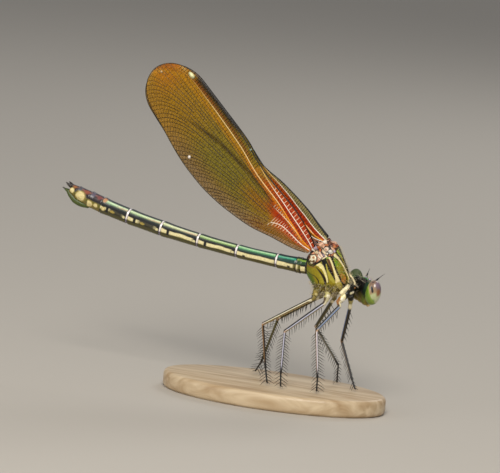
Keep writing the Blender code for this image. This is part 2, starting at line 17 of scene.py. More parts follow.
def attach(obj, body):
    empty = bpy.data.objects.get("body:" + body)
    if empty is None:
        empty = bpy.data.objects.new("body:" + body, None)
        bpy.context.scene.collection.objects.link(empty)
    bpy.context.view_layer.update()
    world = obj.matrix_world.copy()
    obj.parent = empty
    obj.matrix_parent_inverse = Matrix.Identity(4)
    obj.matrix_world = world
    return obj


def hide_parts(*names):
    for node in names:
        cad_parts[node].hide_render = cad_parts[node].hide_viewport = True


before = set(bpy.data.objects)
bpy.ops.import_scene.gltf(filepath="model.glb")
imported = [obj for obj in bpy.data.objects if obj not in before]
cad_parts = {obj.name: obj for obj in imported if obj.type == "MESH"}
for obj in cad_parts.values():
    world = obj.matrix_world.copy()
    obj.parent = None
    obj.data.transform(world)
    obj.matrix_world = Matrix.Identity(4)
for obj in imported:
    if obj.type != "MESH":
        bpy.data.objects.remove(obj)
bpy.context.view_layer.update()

MM = 0.001
SEED = 11

# The part's own sizes, in millimetres
BASE_LENGTH = 27.0
BASE_WIDTH = 15.0
BASE_HEIGHT = 2.0
BASE_CENTRE_X = -4.4
FLOOR_Z = 2.3
THORAX_SLICES = (
    # height, rear end, front end, half width
    (10.95, 0.15, 2.35, 0.60),
    (11.25, -0.50, 2.80, 1.00),
    (12.00, -0.95, 3.15, 1.28),
    (12.55, -1.40, 3.55, 1.38),
    (13.10, -1.80, 3.72, 1.43),
    (13.90, -1.92, 3.42, 1.45),
    (14.90, -1.68, 2.90, 1.36),
    (15.80, -0.95, 2.42, 1.16),
    (16.50, -0.20, 2.02, 0.88),
    (16.95, 0.45, 1.55, 0.45),
)
THORAX_NOSE = 1.55
PROTHORAX_RINGS = (
    # place along the body, height of the middle, half height, half width
    (3.42, 11.40, 0.38, 0.60),
    (3.60, 11.47, 0.66, 0.85),
    (3.92, 11.58, 0.82, 0.92),
    (4.22, 11.75, 0.70, 0.72),
    (4.45, 11.88, 0.42, 0.42),
)
HEAD_CENTRE = (4.88, 1.60, 12.02)
HEAD_YAW = 57.0
HEAD_ROLL = 12.0
EYE_OFFSET = 1.80
EYE_RADII = (0.86, 0.97, 1.48)
ABDOMEN_CONTROLS = ((-2.28, 13.72), (-12.9, 14.18), (-26.4, 16.55), (-31.75, 19.0))
SEGMENT_SHARES = (0.60, 2.35, 5.05, 4.95, 4.80, 4.40, 3.65, 1.75, 1.80, 0.90)
SEGMENT_RADII = (
    (0.98, 0.93), (0.91, 0.85), (0.83, 0.79), (0.79, 0.83), (0.83, 0.92),
    (0.93, 0.94), (0.94, 0.98), (0.98, 0.99), (0.93, 0.80), (0.75, 0.56),
)
ABDOMEN_FLATNESS = 0.88
LEFT_PAIR_SHIFT = -0.30
TIP_POWER = 2.2
WING_SETTLE = 2.4
WINGS = {
    "forewing": {
        "root": (0.69, 17.16),
        "angle": 142.4,
        "left_lag": 1.8,
        "span": 28.5,
        "root_y": 0.55,
        "rest_y": 0.48,
        "round_from": 23.3,
        "lead": ((0.0, 0.20), (2.0, 0.50), (4.4, 0.89), (8.2, 0.99), (11.7, 0.77),
                 (14.8, 1.58), (19.3, 2.23), (23.3, 2.76)),
        "trail": ((0.0, -0.55), (2.0, -1.30), (5.0, -2.60), (8.0, -3.70), (12.0, -4.60),
                  (16.0, -4.95), (20.0, -4.70), (23.3, -4.10)),
    },
    "hindwing": {
        "root": (-0.94, 15.68),
        "angle": 137.3,
        "left_lag": 2.4,
        "span": 28.1,
        "root_y": 1.00,
        "rest_y": 1.42,
        "round_from": 23.0,
        "lead": ((0.0, 0.60), (1.6, 1.27), (3.3, 1.66), (5.4, 1.83), (8.3, 1.82),
                 (11.1, 1.92), (14.6, 2.50), (19.2, 2.85), (23.0, 3.00)),
        "trail": ((0.0, -0.45), (1.4, -1.30), (4.4, -2.58), (6.7, -3.65), (9.1, -4.38),
                  (11.8, -4.97), (14.6, -5.24), (18.4, -5.06), (23.0, -4.20)),
    },
}
# Legs: top of the coxa, end of the trochanter, knee, ankle and the foot on the base
LEGS = {
    "foreleg_right": ((3.12, -1.10, 10.55), (3.12, -1.25, 9.85), (1.24, -3.10, 7.04),
                      (1.89, -3.20, 1.55), (1.97, -3.30, 0.0)),
    "midleg_right": ((1.40, -0.95, 10.62), (1.20, -1.15, 9.90), (-2.56, -3.20, 6.38),
                     (-2.44, -3.60, 1.50), (-2.25, -3.80, 0.0)),
    "hindleg_right": ((-0.10, -0.95, 10.60), (-0.55, -1.10, 10.05), (-5.80, -1.75, 6.61),
                      (-4.70, -2.60, 1.70), (-4.20, -3.00, 0.0)),
    "foreleg_left": ((3.62, 1.05, 10.50), (3.55, 1.25, 9.45), (2.34, 3.00, 5.13),
                     (4.40, 1.90, 1.00), (5.00, 1.55, 0.0)),
    "midleg_left": ((1.60, 0.95, 10.62), (1.35, 1.15, 9.90), (-1.05, 3.20, 6.33),
                    (2.05, 3.42, 2.20), (1.95, 3.80, 0.0)),
    "hindleg_left": ((0.00, 0.95, 10.60), (-0.45, 1.10, 10.05), (-5.25, 1.80, 6.87),
                     (-7.20, 2.70, 1.30), (-8.00, 3.10, 0.0)),
}
COXA_ANCHORS = {
    "foreleg": (3.80, 0.42, 11.45),
    "midleg": (1.55, 0.50, 11.80),
    "hindleg": (0.15, 0.50, 11.80),
}


def to_frame(points):
    """Points of the stance, in millimetres, as points of the model, in metres."""
    moved = np.asarray(points, float).reshape(-1, 3) + (-BASE_CENTRE_X, 0.0, FLOOR_Z)
    return moved * MM


def tone(code):
    """A screen colour, written as six hexadecimal digits, as linear red, green and blue."""
    values = []
    for i in (0, 2, 4):
        share = int(code[i:i + 2], 16) / 255
        values.append(share / 12.92 if share <= 0.04045 else ((share + 0.055) / 1.055) ** 2.4)
    return np.array(values)


def smooth_value(pairs, at):
    """A smooth curve through (place, value) pairs."""
    last = len(pairs) - 1
    k = 0
    while k < last - 1 and at > pairs[k + 1][0]:
        k += 1
    (x0, y0), (x1, y1) = pairs[k], pairs[k + 1]
    before = pairs[max(k - 1, 0)]
    after = pairs[min(k + 2, last)]
    slope0 = (y1 - before[1]) / (x1 - before[0])
    slope1 = (after[1] - y0) / (after[0] - x0)
    width = x1 - x0
    t = (at - x0) / width
    h00 = (1 + 2 * t) * (1 - t) ** 2
    h10 = t * (1 - t) ** 2
    h01 = t * t * (3 - 2 * t)
    h11 = t * t * (t - 1)
    return h00 * y0 + h10 * width * slope0 + h01 * y1 + h11 * width * slope1


def line_value(pairs, at):
    """Straight lines through (place, value) pairs, for one place or an array of them."""
    return np.interp(at, [p[0] for p in pairs], [p[1] for p in pairs])


def step(low, high, values):
    """0 below low, 1 above high and a smooth rise between them."""
    t = np.clip((values - low) / (high - low), 0.0, 1.0)
    return t * t * (3 - 2 * t)


def band(values, middle, half, soft):
    """1 within half of the middle, falling to 0 over soft."""
    return 1 - step(half - soft / 2, half + soft / 2, np.abs(values - middle))


def blend(first, second, share):
    return first * (1 - share) + second * share


class Coat:
    """Colours laid one over another on a row of points."""

    def __init__(self, code, count):
        self.colours = np.tile(tone(code), (count, 1))

    def lay(self, colour, share):
        """Lays a colour, or one for each point, as thickly as share says at each point."""
        if isinstance(colour, str):
            colour = tone(colour)
        share = np.clip(share, 0.0, 1.0)[:, None]
        self.colours = blend(self.colours, colour, share)


class Stock:
    """The points, faces and colours of a mesh that is being put together, in millimetres."""

    def __init__(self):
        self.points = []
        self.faces = []
        self.tints = []

    def add(self, points, faces, tints):
        start = len(self.points)
        self.points.extend(tuple(p) for p in points)
        self.faces.extend(tuple(i + start for i in face) for face in faces)
        self.tints.extend(tints)

    def add_tube(self, line, radii, sides, code):
        """A tube of one colour along a line."""
        points, faces = sweep(line, radii, sides)
        self.add(points, faces, [tone(code)] * len(points))

    def build(self, name, mat):
        mesh = bpy.data.meshes.new(name)
        mesh.from_pydata(to_frame(self.points).tolist(), [], self.faces)
        mesh.shade_smooth()
        obj = add_object(name, mesh)
        paint(obj, np.array(self.tints))
        mesh.materials.append(mat)
        return obj


def paint(obj, tints, name="Tint"):
    """Stores one linear colour for each point of a mesh."""
    layer = obj.data.color_attributes.new(name, "FLOAT_COLOR", "POINT")
    full = np.ones((len(tints), 4), np.float32)
    full[:, :3] = tints
    layer.data.foreach_set("color", full.ravel())


def finish_piece(obj, slot, *nodes):
    """Sets what a finished piece rides on and what it stands for; its slot is not used."""
    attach(obj, "root")
    if nodes:
        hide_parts(*nodes)


def tube_faces(levels, sides):
    """Faces of a tube of rings, with both ends closed."""
    faces = []
    for level in range(levels - 1):
        for i in range(sides):
            a = level * sides + i
            b = level * sides + (i + 1) % sides
            faces.append((a, b, b + sides, a + sides))
    faces.append(tuple(range(sides - 1, -1, -1)))
    faces.append(tuple(range((levels - 1) * sides, levels * sides)))
    return faces


def sweep(points, radii, sides):
    """Rings of a tube along the points, and its faces."""
    points = [Vector(p) for p in points]
    rings = []
    side = None
    for k, point in enumerate(points):
        ahead = points[min(k + 1, len(points) - 1)] - points[max(k - 1, 0)]
        ahead.normalize()
        if side is None:
            side = Vector((0.0, 1.0, 0.0)) if abs(ahead.y) < 0.9 else Vector((1.0, 0.0, 0.0))
        side = (side - ahead * side.dot(ahead)).normalized()
        up = ahead.cross(side)
        for i in range(sides):
            angle = 2 * math.pi * (i + 0.5) / sides
            across = side * math.cos(angle) + up * math.sin(angle)
            rings.append(point + across * radii[k])
    return rings, tube_faces(len(points), sides)


def loft(rings):
    """Points and faces of a tube through rings of equal length."""
    points = [point for ring in rings for point in ring]
    return points, tube_faces(len(rings), len(rings[0]))


def place_on_body(centre):
    """A point of the model, in metres, as a point of the stance, in millimetres."""
    return Vector(centre) / MM - Vector((-BASE_CENTRE_X, 0.0, FLOOR_Z))


# Materials

FACET_SIZE = 0.045
WOOD_STRETCH = (90.0, 900.0, 700.0)
WOOD_TONES = ((0.30, "a98a62"), (0.68, "d9c3a0"))


def link(tree, source, target):
    tree.links.new(source, target)


def new_material(name):
    """A material and its main shader."""
    mat = bpy.data.materials.new(name)
    mat.use_nodes = True
    return mat, mat.node_tree.nodes["Principled BSDF"]


def set_inputs(node, values):
    for name, value in values.items():
        node.inputs[name].default_value = value


def add_node(tree, kind, values):
    node = tree.nodes.new("ShaderNode" + kind)
    set_inputs(node, values)
    return node


def add_attribute(tree, name):
    node = add_node(tree, "Attribute", {})
    node.attribute_name = name
    return node


def add_bump(tree, shader, height, strength, distance):
    """Raises the surface by a height, with the distance in millimetres."""
    bump = add_node(tree, "Bump", {"Strength": strength, "Distance": distance * MM})
    link(tree, height, bump.inputs["Height"])
    link(tree, bump.outputs["Normal"], shader.inputs["Normal"])
    return bump


def cuticle(name, roughness, metallic=0.0, grain=0.0, grain_size=0.05, coat=0.0, coat_blur=0.12,
            alpha=1.0, shade=0.12, patch_size=0.35, specular=0.5):
    """A painted cuticle: the mesh's own colours, uneven in shade, with a fine grain."""
    mat, shader = new_material(name)
    tree = mat.node_tree
    set_inputs(shader, {"Roughness": roughness, "Metallic": metallic, "Coat Weight": coat,
                        "Coat Roughness": coat_blur, "Specular IOR Level": specular,
                        "Alpha": alpha})
    place_in = add_node(tree, "TexCoord", {})
    tint = add_attribute(tree, "Tint")
    patches = add_node(tree, "TexNoise", {"Scale": 1 / (patch_size * MM), "Detail": 3.0})
    link(tree, place_in.outputs["Object"], patches.inputs["Vector"])
    spread = add_node(tree, "MapRange", {"From Min": 0.3, "From Max": 0.7,
                                         "To Min": 1 - shade, "To Max": 1 + shade})
    link(tree, patches.outputs["Fac"], spread.inputs["Value"])
    product = add_node(tree, "VectorMath", {})
    product.operation = "SCALE"
    link(tree, tint.outputs["Color"], product.inputs[0])
    link(tree, spread.outputs["Result"], product.inputs["Scale"])
    link(tree, product.outputs["Vector"], shader.inputs["Base Color"])
    if grain > 0:
        fine = add_node(tree, "TexNoise", {"Scale": 1 / (grain_size * MM), "Detail": 2.0})
        link(tree, place_in.outputs["Object"], fine.inputs["Vector"])
        add_bump(tree, shader, fine.outputs["Fac"], grain, grain_size)
    return mat


def eye_material():
    """A polished eye with its facets just visible, and matte where the mesh's Gloss is low."""
    mat = cuticle("eye_lens", 0.30, coat_blur=0.26, shade=0.05, patch_size=0.5)
    tree = mat.node_tree
    shader = tree.nodes["Principled BSDF"]
    gloss = add_attribute(tree, "Gloss")
    link(tree, gloss.outputs["Fac"], shader.inputs["Coat Weight"])
    blur = add_node(tree, "MapRange", {"To Min": 0.65, "To Max": 0.30})
    link(tree, gloss.outputs["Fac"], blur.inputs["Value"])
    link(tree, blur.outputs["Result"], shader.inputs["Roughness"])
    facets = add_node(tree, "TexVoronoi", {"Scale": 1 / (FACET_SIZE * MM)})
    place_in = next(node for node in tree.nodes if node.type == "TEX_COORD")
    link(tree, place_in.outputs["Object"], facets.inputs["Vector"])
    add_bump(tree, shader, facets.outputs["Distance"], 0.10, 0.01).invert = True
    return mat


def wood_material():
    """Pale close-grained wood, waxed."""
    mat, shader = new_material("base_wood")
    tree = mat.node_tree
    set_inputs(shader, {"Roughness": 0.5, "Coat Weight": 0.15})
    place_in = add_node(tree, "TexCoord", {})
    stretch = add_node(tree, "Mapping", {"Scale": WOOD_STRETCH})
    link(tree, place_in.outputs["Object"], stretch.inputs["Vector"])
    rings = add_node(tree, "TexNoise", {"Scale": 1.0, "Detail": 5.0, "Distortion": 0.6})
    link(tree, stretch.outputs["Vector"], rings.inputs["Vector"])
    ramp = add_node(tree, "ValToRGB", {})
    for element, (place, code) in zip(ramp.color_ramp.elements, WOOD_TONES):
        element.position = place
        element.color = (*tone(code), 1.0)
    link(tree, rings.outputs["Fac"], ramp.inputs["Fac"])
    link(tree, ramp.outputs["Color"], shader.inputs["Base Color"])
    add_bump(tree, shader, rings.outputs["Fac"], 0.15, 0.05)
    return mat


# Camera, light and floor

# The photograph's view, nearly side on from a little ahead and above: the picture's right and
# up, the place it looks at in millimetres, and its distance in metres
VIEW_RIGHT = Vector((0.9320, 0.3521, 0.0863))
VIEW_UP = Vector((-0.1293, 0.1005, 0.9864))
VIEW_AIM = (-8.946, 0.0, 16.23)
VIEW_DISTANCE = 0.4
LENS = 249.0
SENSOR_WIDTH = 36.0
# Round lamps: name, place in metres, diameter, power and colour
LAMPS = (
    ("key", (0.075, -0.30, 0.29), 0.19, 1.30, (1.0, 0.965, 0.91)),
    ("fill", (-0.32, -0.33, 0.14), 0.30, 0.36, (0.94, 0.97, 1.0)),
    ("rim", (0.05, 0.34, 0.30), 0.20, 0.42, (1.0, 1.0, 1.0)),
)
LAMP_AIM = Vector((-0.005, 0.0, 0.016))
SKY = (0.94, 0.96, 1.0, 1.0)
SKY_STRENGTH = 0.30
FLOOR_SIZE = 6.0


def add_object(name, data):
    obj = bpy.data.objects.new(name, data)
    bpy.context.scene.collection.objects.link(obj)
    return obj


def add_camera():
    data = bpy.data.cameras.new("camera")
    data.lens = LENS
    data.sensor_width = SENSOR_WIDTH
    data.clip_start = 0.01
    cam = add_object("camera", data)
    back = VIEW_RIGHT.cross(VIEW_UP)
    pose = Matrix((VIEW_RIGHT, VIEW_UP, back)).transposed().to_4x4()
    pose.translation = Vector(to_frame(VIEW_AIM)[0]) + back * VIEW_DISTANCE
    cam.matrix_world = pose
    bpy.context.scene.camera = cam


def add_lamp(name, place, size, power, colour):
    data = bpy.data.lights.new(name, "AREA")
    data.shape = "DISK"
    data.size = size
    data.energy = power
    data.color = colour
    lamp = add_object(name, data)
    lamp.location = place
    lamp.rotation_euler = (LAMP_AIM - lamp.location).to_track_quat("-Z", "Y").to_euler()


def add_stage():
    world = bpy.data.worlds.new("studio")
    world.use_nodes = True
    set_inputs(world.node_tree.nodes["Background"], {"Color": SKY, "Strength": SKY_STRENGTH})
    bpy.context.scene.world = world
    for lamp in LAMPS:
        add_lamp(*lamp)
    bpy.ops.mesh.primitive_plane_add(size=FLOOR_SIZE, location=(0.0, 0.0, 0.0))
    floor = bpy.context.active_object
    floor.name = "floor"
    mat, shader = new_material("floor_paper")
    set_inputs(shader, {"Base Color": (*tone("bdb6ab"), 1.0), "Roughness": 0.9})
    floor.data.materials.append(mat)


# Wings

WING_PLATE = 0.012
NODUS = 11.2
# The membrane's pleats, which fade towards the hind edge
PLEAT_DEPTH = 0.05
PLEAT_TURNS = 9.0
# Main veins, as distances behind the leading edge at places along the wing
MAIN_VEINS = {
    "subcosta": ((0.3, 0.42), (1.6, 0.62), (3.0, 0.74), (4.8, 0.75), (6.8, 0.56), (8.6, 0.40),
                 (10.4, 0.18), (11.2, 0.05)),
    "radius": ((0.3, 0.70), (1.6, 1.20), (4.0, 1.36), (5.8, 1.20), (7.2, 1.05), (10.0, 0.97),
               (12.0, 0.92), (16.0, 0.92), (20.0, 0.88), (24.0, 0.80), (27.0, 0.62)),
    "median": ((1.6, 1.27), (2.8, 1.40), (4.0, 1.54), (5.6, 1.73), (7.2, 1.91)),
    "cubital": ((0.2, 0.79), (1.3, 1.52), (3.1, 2.12), (4.3, 2.44), (5.0, 2.79), (5.6, 3.33)),
    "anal": ((0.2, 0.99), (2.0, 2.14), (3.7, 2.69), (4.8, 3.14), (5.8, 3.93)),
}
INNER_VEINS = ("median", "cubital", "anal")
# How far back the inner veins lie in each kind of wing, as a share of those distances
VEIN_DEPTH = {"forewing": 0.92, "hindwing": 1.0}
# Where the darker veins of the wing's field start
MAIN_STARTS = ((7.6, 1.31), (7.2, 1.55), (6.6, 2.25), (6.3, 2.59), (6.0, 3.17))
FIELD_START = 5.9
NET_START = 5.4
MEDIAN_END = 7.2
RADIUS_END = 26.4
# Where the fine veins begin at the tip's front, and the fewest points that a vein may have
SEEDS_START = 26.5
SHORTEST_LINE = 5
# Lean of the fine veins at the leading and the hind edge, in degrees from the wing's length
LEAN_FRONT = -7.0
LEAN_REAR = 50.0
LEAN_POWER = 2.2
# Where the fine veins begin to lean more, over how long a way, and by how much
TIP_START = 19.0
TIP_LENGTH = 7.0
TIP_LEAN = 0.6
LINE_GAP = 0.40
LINE_END_GAP = 0.28
FLOW_STEP = 0.16
CROSS_PITCH = 0.37
CROSS_REACH = 0.85
FINE_VEIN = 0.042
CROSS_VEIN = 0.035
COMB_VEIN = 0.040
MAIN_VEIN = 0.045
COSTA_VEIN = 0.080

CREAM = tone("fff6e4")
GOLD = tone("e6bc74")
DARK_VEIN = tone("2c1d08")
BLACK = tone("0d0b0a")


class Wing:
    """One wing's plane: where a place along its span and across its chord lies."""

    def __init__(self, kind, side):
        self.kind = kind
        self.side = side
        self.spec = WINGS[kind]
        lag = self.spec["left_lag"] if side > 0 else 0.0
        shift = LEFT_PAIR_SHIFT if side > 0 else 0.0
        angle = math.radians(self.spec["angle"] + lag)
        self.along = Vector((math.cos(angle), 0.0, math.sin(angle)))
        self.ahead = Vector((math.sin(angle), 0.0, -math.cos(angle)))
        self.root = Vector((self.spec["root"][0] + shift, 0.0, self.spec["root"][1]))
        self.span = self.spec["span"]
        self.name = f"{kind}_{'left' if side > 0 else 'right'}"

    def edges(self, at):
        """Offsets of the leading and the hind edge at a place along the wing."""
        start = self.spec["round_from"]
        if at <= start:
            at = max(at, 0.0)
            return smooth_value(self.spec["lead"], at), smooth_value(self.spec["trail"], at)
        t = min((at - start) / (self.span - start), 1.0)
        run_on = (at - start) * (1 - t) ** 2
        lead, trail = (
            knots[-1][1] + run_on * (knots[-1][1] - knots[-2][1]) / (knots[-1][0] - knots[-2][0])
            for knots in (self.spec["lead"], self.spec["trail"])
        )
        half = (lead - trail) / 2 * math.sqrt(max(1 - t**TIP_POWER, 0.0))
        middle = (lead + trail) / 2
        return middle + half, middle - half

    def point(self, at, offset, lift=0.0):
        """The point at a place along the span and an offset towards the leading edge."""
        spec = self.spec
        settle = min(max(at, 0.0) / WING_SETTLE, 1.0)
        settle = settle * settle * (3 - 2 * settle)
        y = spec["root_y"] + (spec["rest_y"] - spec["root_y"]) * settle
        lead, trail = self.edges(at)
        share = (lead - offset) / max(lead - trail, 0.2)
        pleat = PLEAT_DEPTH * math.cos(share * PLEAT_TURNS + 0.6) * (1 - share) * settle
        flat = self.root + self.along * at + self.ahead * offset
        return Vector((flat.x, self.side * (y + pleat + lift), flat.z))

    def vein(self, name, at):
        """Offset of a main vein, or of the leading or the hind edge, at a place along the wing."""
        lead, trail = self.edges(at)
        if name == "lead":
            return lead
        if name == "hind":
            return trail
        depth = VEIN_DEPTH[self.kind] if name in INNER_VEINS else 1.0
        return lead - smooth_value(MAIN_VEINS[name], at) * depth

    def vein_line(self, name, places):
        return [(at, self.vein(name, at)) for at in places]

    def share(self, at, offset):
        """0 at the leading edge and 1 at the hind edge."""
        lead, trail = self.edges(at)
        return min(max((lead - offset) / max(lead - trail, 0.05), 0.0), 1.0)

    def margin(self):
        """The wing's rim from behind the tip's front round to the hind edge near the root."""
        rim = []
        steps = 90
        start = self.spec["round_from"]
        for i in range(steps):
            turn = math.pi * i / (steps - 1)
            at = start + (self.span - start) * math.sin(turn)
            lead, trail = self.edges(at)
            rim.append((at, lead if turn < math.pi / 2 else trail))
        while rim[-1][0] > NET_START:
            at = rim[-1][0] - 0.2
            rim.append((at, self.edges(at)[1]))
        return rim


def flow(wing, at, offset):
    """Direction of the fine veins at a place of the wing."""
    share = wing.share(at, offset)
    tip = min(max((at - TIP_START) / TIP_LENGTH, 0.0), 1.0)
    lean = LEAN_FRONT * (1 - share) + LEAN_REAR * share**LEAN_POWER * (1 + TIP_LEAN * tip)
    lean = math.radians(lean)
    return math.cos(lean), -math.sin(lean)


def trace(wing, start, sign, taken, near):
    """A vein along the flow, or against it, until it leaves the field or nears another vein."""
    line = [start]
    at, offset = start
    for _ in range(230):
        ahead, across = flow(wing, at, offset)
        reach = sign * FLOW_STEP
        ahead, across = flow(wing, at + reach * ahead / 2, offset + reach * across / 2)
        at += reach * ahead
        offset += reach * across
        if at < FIELD_START or at > wing.span - 0.03:
            break
        lead, trail = wing.edges(at)
        front = wing.vein("radius", at) - 0.10 if at < RADIUS_END else lead
        if offset < trail or offset > front:
            break
        if near and np.min(np.hypot(taken[:, 0] - at, taken[:, 1] - offset)) < near:
            break
        line.append((at, offset))
    return line


def field_lines(wing):
    """The long veins of the wing's field, as lines with a radius."""
    radius = wing.vein_line("radius", np.arange(NET_START, RADIUS_END, FLOW_STEP))
    knee = wing.vein_line("median", np.arange(NET_START, MEDIAN_END, FLOW_STEP))
    none = np.array([(-9.0, -9.0)])
    median = knee + trace(wing, (MEDIAN_END, wing.vein("median", MEDIAN_END)), 1, none, 0.0)
    lines = [(radius, 0.0), (median, MAIN_VEIN * 0.85)]
    for at, behind in MAIN_STARTS:
        start = (at, wing.edges(at)[0] - behind * VEIN_DEPTH[wing.kind])
        line = trace(wing, start, 1, none, 0.0)
        if len(line) > SHORTEST_LINE:
            lines.append((line, MAIN_VEIN * 0.85))
    rim = [p for p in wing.margin() if p[0] > FIELD_START]
    rim = rim[next(k for k, p in enumerate(rim) if p[0] > SEEDS_START):]
    seeds = []
    walked = 0.0
    for (at, offset), (at_next, offset_next) in zip(rim, rim[1:]):
        ahead, across = flow(wing, at, offset)
        walked += abs(ahead * (offset_next - offset) - across * (at_next - at))
        if walked > LINE_GAP:
            seeds.append((at_next, offset_next))
            walked = 0.0
    done = set()
    for stride in (8, 4, 2, 1):
        for k in range(0, len(seeds), stride):
            if k in done:
                continue
            done.add(k)
            taken = np.array([p for line, _ in lines for p in line])
            at, offset = seeds[k]
            if np.min(np.hypot(taken[:, 0] - at, taken[:, 1] - offset)) < LINE_END_GAP * 0.9:
                continue
            line = trace(wing, seeds[k], -1, taken, LINE_END_GAP)
            if len(line) > SHORTEST_LINE:
                lines.append((line[::-1], FINE_VEIN * (1.25 if stride == 8 else 1.0)))
    return lines


def field_crossveins(wing, lines, draw):
    """Short veins across the field, from each long vein to the next one behind it."""
    points = []
    owners = []
    rim = wing.margin()
    for k, line in enumerate([line for line, _ in lines] + [rim]):
        table = np.array(line)
        fine = np.linspace(0, len(table) - 1, len(table) * 3)
        whole = np.arange(len(table))
        points.append(np.stack([np.interp(fine, whole, table[:, c]) for c in (0, 1)], axis=1))
        owners.append(np.full(len(fine), k))
    points = np.concatenate(points)
    owners = np.concatenate(owners)
    found = []
    for k, (line, _) in enumerate(lines):
        table = np.array(line)
        steps = np.hypot(*np.diff(table, axis=0).T)
        length = np.concatenate(([0.0], np.cumsum(steps)))
        goal = CROSS_PITCH * draw.uniform(0.2, 1.0)
        while goal < length[-1]:
            at = float(np.interp(goal, length, table[:, 0]))
            offset = float(np.interp(goal, length, table[:, 1]))
            ahead, across = flow(wing, at, offset)
            beyond = points - (at, offset)
            deep = beyond[:, 0] * across - beyond[:, 1] * ahead
            aside = np.abs(beyond[:, 0] * ahead + beyond[:, 1] * across)
            fits = (owners != k) & (deep > 0.08) & (deep < CROSS_REACH) & (aside < 0.07)
            if fits.any():
                nearest = np.flatnonzero(fits)[np.argmin(deep[fits])]
                found.append([(at, offset), tuple(points[nearest])])
            goal += CROSS_PITCH * draw.uniform(0.86, 1.14)
    return found


def vein_run(stock, wing, places, radius, tint, taper=1.0, sides=4):
    """A vein through (span, offset) places, half sunk in the membrane.

    The tint is one colour, a tuple of one for each place, or a function of the place's span.
    """
    line = [wing.point(at, offset) for at, offset in places]
    last = len(line) - 1
    radii = [radius * (1 + (taper - 1) * k / last) for k in range(len(line))]
    points, faces = sweep(line, radii, sides)
    tints = []
    for k, (at, _) in enumerate(places):
        if callable(tint):
            colour = tint(at)
        else:
            colour = tint[k] if isinstance(tint, tuple) else tint
        tints.extend([colour] * sides)
    stock.add(points, faces, tints)


def rungs(stock, wing, draw, upper, lower, reach, pitch, tints, radius):
    """Crossveins from one vein to the next, nearly evenly spaced, coloured along their length."""
    at, end = reach
    while at < end:
        lean = draw.uniform(-0.03, 0.03)
        top = (at + lean, wing.vein(upper, at + lean))
        foot = (at - lean, wing.vein(lower, at - lean))
        if top[1] - foot[1] > 0.10:
            last = len(tints) - 1
            places = [tuple(a + (b - a) * k / last for a, b in zip(top, foot))
                      for k in range(last + 1)]
            vein_run(stock, wing, places, radius, tints)
        at += pitch * draw.uniform(0.88, 1.12)


def field_tint(at):
    """The fine veins are browner at the tip and near the root."""
    root = 1 - float(step(6.5, 9.5, at))
    tip = float(step(22.5, 27.0, at))
    colour = blend(DARK_VEIN, tone("6e4a12"), tip * 0.7)
    return blend(colour, tone("6a2c08"), root * 0.6)


def subcosta_tint(at):
    return blend(CREAM, GOLD, float(step(7.0, 10.0, at)))


def radius_tint(at):
    """The radius is orange at the root, pale gold beyond it and brown at the tip."""
    colour = blend(tone("ee9a1c"), tone("e9c68a"), float(step(5.0, 7.0, at)))
    return blend(colour, tone("b07c22"), float(step(18.0, 24.0, at)))


def median_tint(at):
    return blend(tone("f8dcb4"), DARK_VEIN, float(step(5.4, 7.2, at)))


# Main veins: name, places along the wing, radius, colour, taper and sides
MAIN_RUNS = (
    ("subcosta", np.append(np.arange(0.2, NODUS, 0.3), NODUS), MAIN_VEIN * 1.3, subcosta_tint,
     0.75, 6),
    ("radius", np.arange(0.3, 26.6, 0.35), MAIN_VEIN * 1.8, radius_tint, 0.5, 6),
    ("median", np.arange(1.6, 7.21, 0.3), MAIN_VEIN * 1.1, median_tint, 0.8, 5),
    ("cubital", np.arange(0.2, 5.61, 0.2), MAIN_VEIN * 1.25, CREAM, 0.7, 5),
    ("anal", np.arange(0.2, 5.81, 0.25), MAIN_VEIN * 0.8, tone("c8641c"), 0.6, 4),
)
RED_RUNG = tone("5e1604")
PALE_RUNG = tone("fde4c0")
RUST_RUNG = tone("c8742c")
OLIVE_RUNG = tone("2c240c")
# Rows of crossveins: upper and lower vein, reach along the wing, spacing, colours from the upper
# vein to the lower, and radius
FRONT_RUNGS = {
    "hindwing": ("lead", "subcosta", (0.7, 8.2), 0.49, (RED_RUNG, *[PALE_RUNG] * 3), COMB_VEIN),
    "forewing": ("lead", "subcosta", (0.7, 9.2), 0.27, (OLIVE_RUNG,) * 2, COMB_VEIN * 0.9),
}
RUNG_ROWS = (
    ("subcosta", "radius", (0.9, 10.9), 0.37, (RED_RUNG,) * 2, CROSS_VEIN),
    ("lead", "radius", (11.5, 26.2), 0.34, (OLIVE_RUNG * 0.6,) * 2, CROSS_VEIN),
    ("radius", "median", (3.0, 7.0), 0.33, (*[RED_RUNG] * 2, *[PALE_RUNG] * 2), COMB_VEIN),
    ("median", "cubital", (1.9, 3.6), 0.40, (*[RED_RUNG] * 3, PALE_RUNG), COMB_VEIN),
    ("median", "cubital", (3.9, 5.7), 0.30, (*[RED_RUNG] * 2, *[PALE_RUNG] * 2), COMB_VEIN * 0.9),
    ("cubital", "anal", (0.7, 3.8), 0.36, (PALE_RUNG, RUST_RUNG), COMB_VEIN * 0.9),
    ("cubital", "anal", (3.9, 5.7), 0.34, (RUST_RUNG, PALE_RUNG, PALE_RUNG), COMB_VEIN),
    ("anal", "hind", (0.6, 6.2), 0.30, (tone("8a5a16"), tone("5a4418")), CROSS_VEIN),
)


